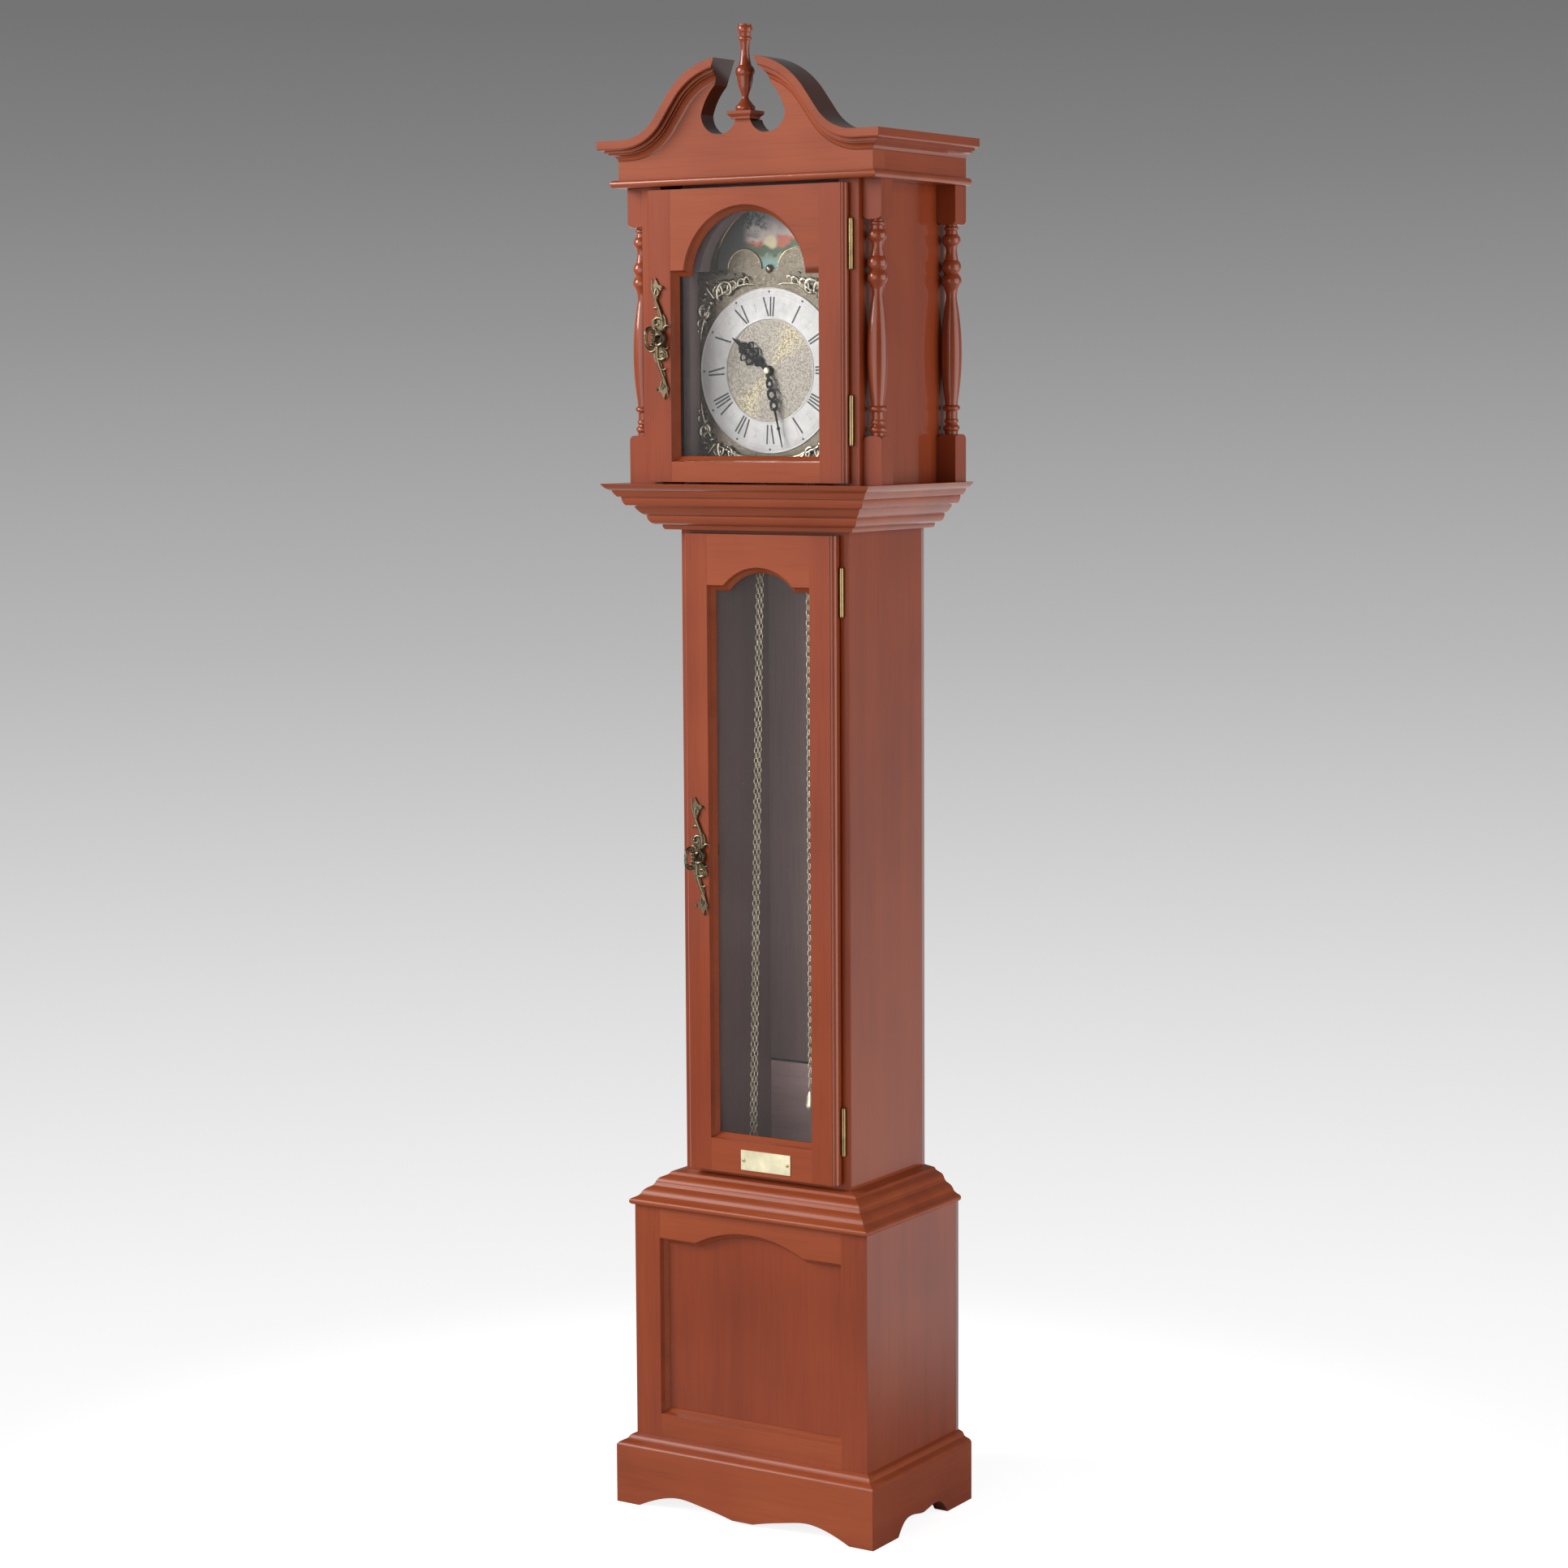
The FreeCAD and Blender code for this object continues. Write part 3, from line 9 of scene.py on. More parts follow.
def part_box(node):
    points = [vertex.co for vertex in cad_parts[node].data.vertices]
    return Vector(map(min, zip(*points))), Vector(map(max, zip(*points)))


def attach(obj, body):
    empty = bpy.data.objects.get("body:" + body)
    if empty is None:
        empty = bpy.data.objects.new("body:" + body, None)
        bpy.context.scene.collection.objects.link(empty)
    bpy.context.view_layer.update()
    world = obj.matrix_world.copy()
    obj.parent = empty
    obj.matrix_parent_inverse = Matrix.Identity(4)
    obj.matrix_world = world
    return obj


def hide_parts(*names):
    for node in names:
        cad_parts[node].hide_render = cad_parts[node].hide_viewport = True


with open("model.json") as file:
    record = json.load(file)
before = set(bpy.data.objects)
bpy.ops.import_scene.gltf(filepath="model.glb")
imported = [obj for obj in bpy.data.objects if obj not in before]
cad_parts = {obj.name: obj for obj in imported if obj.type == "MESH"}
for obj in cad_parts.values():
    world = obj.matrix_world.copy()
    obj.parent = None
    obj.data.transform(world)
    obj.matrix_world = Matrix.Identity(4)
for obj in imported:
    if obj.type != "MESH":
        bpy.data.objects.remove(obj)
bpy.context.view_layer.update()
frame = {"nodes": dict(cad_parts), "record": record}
nodes = frame["nodes"]
MM = 0.001

# Camera, solved from the photograph's edges
CAMERA_PLACE = (2.31876, -3.64908, 1.38694)
CAMERA_YAW = 32.497
CAMERA_PITCH = -6.259
CAMERA_ROLL = -0.327
CAMERA_LENS = 80.70
SENSOR = 36.0

# Backdrop brightness by the height of the view direction, dark above and white below
BACKDROP_STOPS = [(-0.294, 1.0), (-0.252, 0.93), (-0.208, 0.83), (-0.162, 0.716), (-0.117, 0.597),
                  (-0.071, 0.479), (-0.025, 0.387), (0.021, 0.296), (0.066, 0.223), (0.106, 0.174)]
BACKDROP_LOW, BACKDROP_HIGH = -0.3, 0.12
FLOOR_RADIUS = 3.0
FLOOR_FADE = (0.35, 1.2)
FLOOR_GLOW = 0.85
FLOOR_STOPS = [(0.3, (0.43, 0.43, 0.43)), (0.7, (0.45, 0.45, 0.45))]
FLOOR_SIDES = 64

# The backdrop's strength as light and in gloss to the front, and the range of Y where gloss rises to full
WORLD_LIGHT = 0.35
ROOM_GLOSS = 0.2
ROOM_EDGE = (-0.2, 0.4)

# Lamps: name, place, target, size and power
LAMPS = [
    ("key", (-4.1, -3.4, 3.6), (0, 0, 0.9), 2.6, 350),
    ("front_fill", (-0.4, -5.0, 1.2), (0, 0, 0.4), 4.2, 125),
    ("right_fill", (3.6, 0.4, 1.2), (0, 0, 0.6), 3.6, 110),
    ("front_panel", (-2.4, -3.8, 1.5), (0, 0, 1.2), 3.0, 9),
]

# Colours, as linear values; wood tones run from light to dark
WOOD_TONES = ((0.3, 0.057, 0.015), (0.25, 0.043, 0.012), (0.19, 0.031, 0.009))
RAIL_TONES = ((0.34, 0.072, 0.02), (0.285, 0.055, 0.016), (0.21, 0.038, 0.01))
INNER_TONES = ((0.35, 0.245, 0.235), (0.315, 0.22, 0.21), (0.28, 0.197, 0.188))
FOOT_TONES = ((0.9, 0.68, 0.65), (0.74, 0.55, 0.53), (0.55, 0.4, 0.39))
MASK_TONES = ((0.29, 0.22, 0.22), (0.26, 0.195, 0.195), (0.23, 0.17, 0.17))
PORE_TONE = (0.74, 0.7, 0.68)
WHITE = (1, 1, 1)
# Painted shade for the pediment's tops, cut edges and moulding steps
EDGE_SHADE = (0.2, 0.2, 0.2)
BRASS = (0.78, 0.6, 0.3)
PLATE_BRASS = (1.0, 0.93, 0.63)
CHAIN_BRASS = (0.96, 0.88, 0.64)
ANTIQUE = (0.2, 0.155, 0.095)
ANTIQUE_LOW = (0.012, 0.01, 0.008)
HINGE_BRASS = (0.34, 0.26, 0.12)
CAST_BRASS = (0.43, 0.385, 0.3)
CAST_LOW = (0.06, 0.052, 0.042)
CAST_GROUND = (0.17, 0.148, 0.115)
SILVER = (0.52, 0.51, 0.495)
SILVER_PALE = (0.64, 0.62, 0.61)
CENTRE_TONES = ((0.21, 0.185, 0.155), (0.38, 0.345, 0.295))
# Painted highlight of the dial centre, from dark to bright
HIGHLIGHT_TONES = ((0.2, 0.165, 0.1), (0.54, 0.475, 0.345))
BRONZE_DIAL = (0.31, 0.265, 0.2)
PAINT_SHADE = (0.74, 0.72, 0.68)
# Painted shade over the moon picture's left side
PAINTED_LEFT_SHADE = (0.05, 0.048, 0.047)
SKY_LOW = (0.72, 0.62, 0.6)
SKY_HIGH = (0.2, 0.22, 0.24)
CLOUD_GREY = (0.16, 0.17, 0.19)
LEAF_GREEN = (0.04, 0.07, 0.06)
SUN_GOLD = (0.95, 0.86, 0.55)
BUSH_RED = (0.72, 0.2, 0.12)
HILL_DARK = (0.12, 0.19, 0.12)
HILL_PALE = (0.3, 0.42, 0.3)
WATER_TEAL = (0.3, 0.52, 0.52)
CLEAR_GLASS = (0.96, 0.97, 0.97)
BLACK = (0.014, 0.015, 0.016)
INK = (0.045, 0.05, 0.052)
TRACK_INK = (0.38, 0.34, 0.36)
FAINT_INK = (0.42, 0.4, 0.42)


def new_material(name):
    """A material with its shader, ready for more nodes."""
    material = bpy.data.materials.new(name)
    material.use_nodes = True
    tree = material.node_tree
    return material, tree, tree.nodes["Principled BSDF"]


def add(tree, kind, **values):
    """A node with some of its properties set."""
    node = tree.nodes.new(kind)
    for key, value in values.items():
        setattr(node, key, value)
    return node


def feed(tree, socket, value):
    """Link a socket to a value socket, or set it."""
    if isinstance(value, bpy.types.NodeSocket):
        tree.links.new(value, socket)
    elif isinstance(value, tuple):
        socket.default_value = (*value, 1)
    else:
        socket.default_value = value


def reckon(tree, operation, first, second=0.0, third=0.0):
    """The result of a math node."""
    node = add(tree, "ShaderNodeMath", operation=operation)
    for socket, value in zip(node.inputs, (first, second, third)):
        feed(tree, socket, value)
    return node.outputs[0]


def blend(tree, factor, first, second, mode="MIX"):
    """Two colours mixed by a factor."""
    node = add(tree, "ShaderNodeMix", data_type="RGBA", blend_type=mode)
    feed(tree, node.inputs["Factor"], factor)
    feed(tree, node.inputs["A"], first)
    feed(tree, node.inputs["B"], second)
    return node.outputs["Result"]


def step(tree, value, low, high):
    """A smooth rise from 0 at low to 1 at high."""
    node = add(tree, "ShaderNodeMapRange", interpolation_type="SMOOTHSTEP")
    feed(tree, node.inputs["Value"], value)
    node.inputs["From Min"].default_value = low
    node.inputs["From Max"].default_value = high
    return node.outputs["Result"]


def ramp(tree, source, stops):
    """A colour ramp fed by a value socket, with a place and a colour for each stop."""
    node = add(tree, "ShaderNodeValToRGB")
    stops = list(stops)
    elements = node.color_ramp.elements
    while len(elements) < len(stops):
        elements.new(0.5)
    for element, (place, colour) in zip(elements, stops):
        element.position = place
        element.color = (*colour, 1)
    tree.links.new(source, node.inputs["Fac"])
    return node.outputs["Color"]


def noise(tree, vector, scale=1.0, detail=4.0, roughness=0.55):
    """A noise texture's value over a vector."""
    node = add(tree, "ShaderNodeTexNoise")
    node.inputs["Scale"].default_value = scale
    node.inputs["Detail"].default_value = detail
    node.inputs["Roughness"].default_value = roughness
    tree.links.new(vector, node.inputs["Vector"])
    return node.outputs["Fac"]


def place_vector(tree, scale=(1, 1, 1)):
    """Object coordinates stretched along the axes."""
    coordinates = add(tree, "ShaderNodeTexCoord")
    mapping = add(tree, "ShaderNodeMapping")
    mapping.inputs["Scale"].default_value = scale
    tree.links.new(coordinates.outputs["Object"], mapping.inputs["Vector"])
    return mapping.outputs["Vector"]


def split(tree, vector):
    """A vector's values, to be picked by axis name."""
    node = add(tree, "ShaderNodeSeparateXYZ")
    tree.links.new(vector, node.inputs["Vector"])
    return node.outputs


def length(tree, vector):
    """How long a vector is."""
    node = add(tree, "ShaderNodeVectorMath", operation="LENGTH")
    tree.links.new(vector, node.inputs[0])
    return node.outputs["Value"]


def normal_y(tree):
    """How far a face looks to the back, from -1 to 1."""
    return split(tree, add(tree, "ShaderNodeNewGeometry").outputs["True Normal"])["Y"]


def distance_aside(tree):
    """Distance to the clock's middle, to either side."""
    return reckon(tree, "ABSOLUTE", split(tree, place_vector(tree))["X"])


def bump(tree, shader, height, strength, distance, rounding=0.0):
    """Small relief from a value socket, over edges rounded by a radius."""
    node = add(tree, "ShaderNodeBump")
    node.inputs["Strength"].default_value = strength
    node.inputs["Distance"].default_value = distance
    tree.links.new(height, node.inputs["Height"])
    if rounding:
        soft = add(tree, "ShaderNodeBevel", samples=4)
        soft.inputs["Radius"].default_value = rounding
        tree.links.new(soft.outputs["Normal"], node.inputs["Normal"])
    tree.links.new(node.outputs["Normal"], shader.inputs["Normal"])


# Wood: stretch of its figure, pores and clouds, and how they mix

GRAIN_STRETCH = {"X": (1.6, 26, 26), "Y": (26, 1.6, 26), "Z": (26, 26, 1.6)}
PORE_STRETCH = {"X": (12, 420, 420), "Y": (420, 12, 420), "Z": (420, 420, 12)}
CLOUD_STRETCH = (5, 5, 5)
CLOUD_SHARE, FIGURE_SHARE = 0.55, 0.45
GRAIN_PLACES, PORE_PLACES = (0.32, 0.5, 0.7), (0.36, 0.5)
PORE_SHARE, PORE_STRENGTH = 0.32, 0.05
EDGE_ROUNDING = 0.9 * MM
PORE_DEPTH = 0.3 * MM
BOARD_DEPTH = 0.2 * MM
# How far a face must look to the front or back to stay clear of the pediment's painted shade
FRONT_FACING = (0.05, 0.3)
INNER_FACING = -0.5

# Metals: depth of their small relief, and how their tones vary
METAL_DEPTH = 0.2 * MM
CAST_DEPTH = 0.3 * MM
RING_DEPTH = 0.01 * MM
DIAL_DEPTH = 0.05 * MM
PATCH_SHADE, PATCH_PLACES = 0.72, (0.36, 0.6)
ROUGHNESS_RANGE = (0.8, 1.3)
FINE_GRAIN = 6
CAST_NOISE_SHARE, CAST_PLACES = 0.5, (0.64, 0.8)

# Lacquers: weight and roughness of the coat
POLISHED = (0.7, 0.1)
SATIN = (0.3, 0.32)


def grain_colour(tree, grain, light, mid, dark):
    """Colour and pores of stained mahogany along one axis."""
    figure = noise(tree, place_vector(tree, GRAIN_STRETCH[grain]), detail=5.0)
    pores = noise(tree, place_vector(tree, PORE_STRETCH[grain]), detail=3.0, roughness=0.5)
    cloud = noise(tree, place_vector(tree, CLOUD_STRETCH), detail=2.0, roughness=0.5)
    broad = reckon(tree, "MULTIPLY_ADD", cloud, CLOUD_SHARE, reckon(tree, "MULTIPLY", figure, FIGURE_SHARE))
    colour = ramp(tree, broad, zip(GRAIN_PLACES, (dark, mid, light)))
    streak = ramp(tree, pores, zip(PORE_PLACES, (PORE_TONE, WHITE)))
    return blend(tree, PORE_SHARE, colour, streak, "MULTIPLY"), pores


def lacquer(tree, shader, colour, pores, gloss=POLISHED):
    """Lacquer over a wood colour; gloss is its weight and its roughness."""
    feed(tree, shader.inputs["Base Color"], colour)
    shader.inputs["Coat Weight"].default_value = gloss[0]
    shader.inputs["Roughness"].default_value = 0.4
    shader.inputs["Specular IOR Level"].default_value = 0.15
    shader.inputs["Coat Roughness"].default_value = gloss[1]
    bump(tree, shader, pores, PORE_STRENGTH, PORE_DEPTH, EDGE_ROUNDING)


def wood(name, grain, tones=WOOD_TONES, gloss=POLISHED):
    """Stained and lacquered mahogany with its grain along one axis."""
    material, tree, shader = new_material(name)
    colour, pores = grain_colour(tree, grain, *tones)
    lacquer(tree, shader, colour, pores, gloss)
    return material


def shade_edged_wood(name, grain, tones, half):
    """Mahogany whose cut edges, tops and moulding steps nearer than half to the clock's centre carry painted
    shade.
    """
    material, tree, shader = new_material(name)
    colour, pores = grain_colour(tree, grain, *tones)
    front = step(tree, reckon(tree, "ABSOLUTE", normal_y(tree)), *FRONT_FACING)
    end = reckon(tree, "GREATER_THAN", distance_aside(tree), half)
    unshaded = reckon(tree, "MAXIMUM", front, end)
    # Painted shade: faces that look neither to the front nor to the back are darkened
    colour = blend(tree, unshaded, blend(tree, 1.0, colour, EDGE_SHADE, "MULTIPLY"), colour)
    lacquer(tree, shader, colour, pores)
    return material


def inner_board(name, tones, seam=None):
    """Unpolished board inside the case; below a seam its inner face is a second, paler board laid across."""
    material, tree, shader = new_material(name)
    colour, pores = grain_colour(tree, "Z", *tones)
    if seam:
        above = reckon(tree, "SUBTRACT", split(tree, place_vector(tree))["Z"], seam)
        pale = grain_colour(tree, "X", *FOOT_TONES)[0]
        inner = reckon(tree, "LESS_THAN", normal_y(tree), INNER_FACING)
        below = reckon(tree, "LESS_THAN", above, 0.0)
        colour = blend(tree, reckon(tree, "MULTIPLY", inner, below), colour, pale)
        joint = reckon(tree, "LESS_THAN", reckon(tree, "ABSOLUTE", above), SEAM_WIDTH / 2)
        colour = blend(tree, reckon(tree, "MULTIPLY", inner, joint), colour, INK)
    feed(tree, shader.inputs["Base Color"], colour)
    shader.inputs["Roughness"].default_value = 0.7
    shader.inputs["Specular IOR Level"].default_value = 0.2
    bump(tree, shader, pores, PORE_STRENGTH, BOARD_DEPTH)
    return material


def split_wood(name, half, middle_grain, middle_tones):
    """Upright mahogany whose middle, nearer than half to the clock's centre, has its own grain and tones."""
    material, tree, shader = new_material(name)
    inside = reckon(tree, "LESS_THAN", distance_aside(tree), half)
    stile, pores = grain_colour(tree, "Z", *WOOD_TONES)
    middle = grain_colour(tree, middle_grain, *middle_tones)[0]
    lacquer(tree, shader, blend(tree, inside, stile, middle), pores)
    return material


def metal(name, colour, roughness, grain=60.0, depth=METAL_DEPTH, patch=None, metallic=1.0):
    """Worn metal with patches of a second tone, darker than its colour unless that tone is given."""
    material, tree, shader = new_material(name)
    shader.inputs["Metallic"].default_value = metallic
    vector = place_vector(tree)
    value = noise(tree, vector, grain, roughness=0.6)
    patch = patch or tuple(c * PATCH_SHADE for c in colour)
    feed(tree, shader.inputs["Base Color"], ramp(tree, value, zip(PATCH_PLACES, (patch, colour))))
    rough = add(tree, "ShaderNodeMapRange")
    rough.inputs["To Min"].default_value = roughness * ROUGHNESS_RANGE[0]
    rough.inputs["To Max"].default_value = roughness * ROUGHNESS_RANGE[1]
    tree.links.new(value, rough.inputs["Value"])
    tree.links.new(rough.outputs["Result"], shader.inputs["Roughness"])
    bump(tree, shader, noise(tree, vector, grain * FINE_GRAIN), strength=0.12, distance=depth)
    return material


def cast_metal(name, colour, low, roughness):
    """Cast brass, dark in its hollows and bright on its ridges."""
    material, tree, shader = new_material(name)
    shader.inputs["Metallic"].default_value = 1.0
    vector = place_vector(tree)
    geometry = add(tree, "ShaderNodeNewGeometry")
    spots = noise(tree, vector, scale=260.0)
    worn = reckon(tree, "MULTIPLY_ADD", spots, CAST_NOISE_SHARE, geometry.outputs["Pointiness"])
    feed(tree, shader.inputs["Base Color"], ramp(tree, worn, zip(CAST_PLACES, (low, colour))))
    shader.inputs["Roughness"].default_value = roughness
    bump(tree, shader, noise(tree, vector, scale=700.0), strength=0.2, distance=CAST_DEPTH)
    return material


INK_FADE, INK_PLACES = 1.35, (0.35, 0.7)


def ink(name, colour):
    """Printed dial ink, a little uneven."""
    material, tree, shader = new_material(name)
    value = noise(tree, place_vector(tree), scale=900.0)
    pale = tuple(min(1.0, c * INK_FADE) for c in colour)
    feed(tree, shader.inputs["Base Color"], ramp(tree, value, zip(INK_PLACES, (colour, pale))))
    shader.inputs["Roughness"].default_value = 0.6
    return material


# Painted highlight on the dial centre: the angle of its two bright sectors and how sharply they fall off
HIGHLIGHT_ANGLE, HIGHLIGHT_SHARPNESS = math.radians(38), 5.0
HAMMER_DEPTH = 0.6 * MM
SPECKLE_EDGE = (0.36, 0.64)


def hammered(name, centre_z):
    """Spun and hammered dial centre with a painted highlight in two sectors, a little past one and seven
    o'clock.
    """
    material, tree, shader = new_material(name)
    place = split(tree, place_vector(tree))
    # Painted highlight: brightest in two opposite sectors, chosen by angle
    angle = reckon(tree, "ARCTAN2", place["X"], reckon(tree, "SUBTRACT", place["Z"], centre_z))
    turned = reckon(tree, "MULTIPLY", reckon(tree, "SUBTRACT", angle, HIGHLIGHT_ANGLE), 2.0)
    highlight = reckon(tree, "MAXIMUM", reckon(tree, "COSINE", turned), 0.0)
    highlight = reckon(tree, "POWER", highlight, HIGHLIGHT_SHARPNESS)
    grains = noise(tree, place_vector(tree), scale=520.0, detail=2.0, roughness=0.6)
    speckle = step(tree, grains, *SPECKLE_EDGE)
    base = blend(tree, speckle, *CENTRE_TONES)
    highlight_colour = blend(tree, speckle, *HIGHLIGHT_TONES)
    feed(tree, shader.inputs["Base Color"], blend(tree, highlight, base, highlight_colour))
    shader.inputs["Metallic"].default_value = 0.75
    shader.inputs["Roughness"].default_value = 0.3
    bump(tree, shader, grains, strength=0.5, distance=HAMMER_DEPTH)
    return material


# Moon picture: soft edges of its parts, as heights over the disc's centre or distances to its side
RAGGED_HEIGHT = 22 * MM
SKY_EDGE = (36 * MM, 66 * MM)
CROWN_EDGE, CROWN_SIDE = (40 * MM, 50 * MM), (-20 * MM, 12 * MM)
SUN_HEIGHT, SUN_EDGE = 31 * MM, (11 * MM, 7 * MM)
ROSE_SLOPE, ROSE_EDGE, ROSE_SIDE = 0.28, (47 * MM, 41 * MM), (6 * MM, 13 * MM)
TUFT_EDGE, TUFT_SIDE = (36 * MM, 30 * MM), (9 * MM, 13 * MM)
HILL_SLOPE, HILL_EDGE, MEADOW_EDGE = -0.2, (27 * MM, 22 * MM), (18 * MM, 13 * MM)
WATER_EDGE = (15 * MM, 10 * MM)
# Where the painted shade over the picture's left side fades out
SHADED_SIDE = (-42 * MM, -24 * MM)
PAINT_DEPTH = 0.2 * MM
LEAF_EDGE, CLOUD_EDGE = (0.48, 0.56), (0.56, 0.66)
SKY_CLOUD_STRETCH, SKY_CLOUD_SHARE = (30, 30, 90), 0.6


def painted_sky(tree, x, rise, height):
    """Sky with tree crowns to the left, clouds and a low sun."""
    sky = blend(tree, step(tree, height, *SKY_EDGE), SKY_LOW, SKY_HIGH)
    leaves = noise(tree, place_vector(tree), scale=110.0, detail=5.0, roughness=0.7)
    crown = reckon(tree, "SUBTRACT", 1.0, step(tree, x, *CROWN_SIDE))
    crown = reckon(tree, "MULTIPLY", step(tree, leaves, *LEAF_EDGE), crown)
    crown = reckon(tree, "MULTIPLY", crown, step(tree, height, *CROWN_EDGE))
    sky = blend(tree, crown, sky, LEAF_GREEN)
    cloud = step(tree, noise(tree, place_vector(tree, SKY_CLOUD_STRETCH)), *CLOUD_EDGE)
    sky = blend(tree, reckon(tree, "MULTIPLY", cloud, SKY_CLOUD_SHARE), sky, CLOUD_GREY)
    sun = add(tree, "ShaderNodeCombineXYZ")
    tree.links.new(x, sun.inputs["X"])
    tree.links.new(reckon(tree, "SUBTRACT", rise, SUN_HEIGHT), sun.inputs["Y"])
    near = step(tree, length(tree, sun.outputs["Vector"]), *SUN_EDGE)
    return blend(tree, near, sky, SUN_GOLD)


def painted_land(tree, x, height, picture):
    """Red bushes, two hills and water below a sky."""
    aside = reckon(tree, "ABSOLUTE", x)
    slope = reckon(tree, "MULTIPLY_ADD", x, ROSE_SLOPE, height)
    rose = reckon(tree, "MULTIPLY", step(tree, slope, *ROSE_EDGE), step(tree, x, *ROSE_SIDE))
    tuft = reckon(tree, "MULTIPLY", step(tree, height, *TUFT_EDGE), step(tree, aside, *TUFT_SIDE))
    picture = blend(tree, reckon(tree, "MAXIMUM", rose, tuft), picture, BUSH_RED)
    hill = reckon(tree, "MULTIPLY_ADD", aside, HILL_SLOPE, height)
    picture = blend(tree, step(tree, hill, *HILL_EDGE), picture, HILL_DARK)
    picture = blend(tree, step(tree, hill, *MEADOW_EDGE), picture, HILL_PALE)
    return blend(tree, step(tree, height, *WATER_EDGE), picture, WATER_TEAL)


def landscape(name, centre_z):
    """Painted moon disc: a generic evening landscape, with painted shade over its left side."""
    material, tree, shader = new_material(name)
    place = split(tree, place_vector(tree))
    x = place["X"]
    rise = reckon(tree, "SUBTRACT", place["Z"], centre_z)
    rough = reckon(tree, "SUBTRACT", noise(tree, place_vector(tree), scale=70.0), 0.5)
    height = reckon(tree, "MULTIPLY_ADD", rough, RAGGED_HEIGHT, rise)
    picture = painted_land(tree, x, height, painted_sky(tree, x, rise, height))
    picture = blend(tree, 1.0, picture, PAINT_SHADE, "MULTIPLY")
    # Painted shade darkens the picture's left side
    picture = blend(tree, step(tree, x, *SHADED_SIDE), PAINTED_LEFT_SHADE, picture)
    feed(tree, shader.inputs["Base Color"], picture)
    shader.inputs["Roughness"].default_value = 0.5
    bump(tree, shader, noise(tree, place_vector(tree), scale=500.0), strength=0.08, distance=PAINT_DEPTH)
    return material


GLASS_WAVE = 0.5 * MM


def make_glass():
    """Clear window glass with a faint waviness."""
    material, tree, shader = new_material("window_glass")
    wave = noise(tree, place_vector(tree), scale=9.0, detail=2.0)
    feed(tree, shader.inputs["Base Color"], CLEAR_GLASS)
    shader.inputs["Roughness"].default_value = 0.01
    shader.inputs["IOR"].default_value = 1.0
    shader.inputs["Coat Weight"].default_value = 1.0
    shader.inputs["Coat Roughness"].default_value = 0.02
    shader.inputs["Transmission Weight"].default_value = 0.94
    shader.inputs["Alpha"].default_value = 0.22
    bump(tree, shader, wave, strength=0.02, distance=GLASS_WAVE)
    return material


# Widths of boards, and the seam low on the trunk's back

TRUNK_WALL = 16 * MM
TRUNK_INNER_MARGIN = 0.2 * MM
BACK_SEAM = 538 * MM
SEAM_WIDTH = 3 * MM
HOOD_STILE = 36 * MM
TRUNK_STILE = 34.8 * MM
BASE_STILE = 37 * MM
PEDIMENT_END = 2 * MM

# Places read from the frame

ring_low, ring_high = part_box("chapter_ring")
dial_z = (ring_low[2] + ring_high[2]) / 2
ring_front = ring_low[1]
moon_low, moon_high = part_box("moon_disc")
moon_z = (moon_low[2] + moon_high[2]) / 2
plate_front = ring_high[1]
trunk_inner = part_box("trunk_back")[1][0] - TRUNK_WALL
hood_door_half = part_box("hood_door_frame")[1][0]
trunk_door_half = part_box("trunk_door_frame")[1][0]
base_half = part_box("base_front_frame")[1][0]
pediment_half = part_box("pediment_board")[1][0]

# Materials

wood_x = wood("mahogany_grain_x", "X", RAIL_TONES)
satin_x = wood("satin_mahogany_x", "X", RAIL_TONES, gloss=SATIN)
wood_y = wood("mahogany_grain_y", "Y")
pediment_wood = shade_edged_wood("pediment_mahogany", "X", RAIL_TONES, pediment_half - PEDIMENT_END)
wood_z = wood("mahogany_grain_z", "Z")
hood_door_wood = split_wood("hood_door_mahogany", hood_door_half - HOOD_STILE, "X", RAIL_TONES)
trunk_door_wood = split_wood("trunk_door_mahogany", trunk_door_half - TRUNK_STILE, "X", RAIL_TONES)
base_frame_wood = split_wood("base_frame_mahogany", base_half - BASE_STILE, "X", RAIL_TONES)
trunk_side_wood = split_wood("trunk_side_mahogany", trunk_inner + TRUNK_INNER_MARGIN, "Z", INNER_TONES)
inner_wood = inner_board("stained_inner_board", INNER_TONES)
back_wood = inner_board("trunk_back_boards", INNER_TONES, BACK_SEAM)
mask_board = inner_board("grey_mask_board", MASK_TONES)
brass = metal("polished_brass", BRASS, roughness=0.22)
hinge_brass = metal("dull_hinge_brass", HINGE_BRASS, roughness=0.3)
chain_brass = metal("chain_brass", CHAIN_BRASS, roughness=0.25, grain=120.0, metallic=0.6)
plate_brass = metal("plate_brass", PLATE_BRASS, roughness=0.3, grain=25.0, metallic=0.35)
antique_brass = cast_metal("antique_brass", ANTIQUE, ANTIQUE_LOW, roughness=0.32)
spandrel_brass = cast_metal("cast_spandrel_brass", CAST_BRASS, CAST_LOW, roughness=0.25)
spandrel_ground = metal("dark_spandrel_ground", CAST_GROUND, roughness=0.3, grain=200.0)
silvered = metal("silvered_ring", SILVER, roughness=0.3, grain=40.0, depth=RING_DEPTH, patch=SILVER_PALE,
                 metallic=0.35)
bronze_dial = metal("satin_dial_metal", BRONZE_DIAL, roughness=0.22, grain=420.0, depth=DIAL_DEPTH)
centre_brass = hammered("hammered_dial_centre", dial_z)
moon_paint = landscape("moon_landscape", moon_z)
hand_black = metal("blackened_steel", BLACK, roughness=0.45, grain=200.0)
numeral_ink = ink("numeral_ink", INK)
track_ink = ink("track_ink", TRACK_INK)
faint_ink = ink("faint_ornament_ink", FAINT_INK)
glass = make_glass()

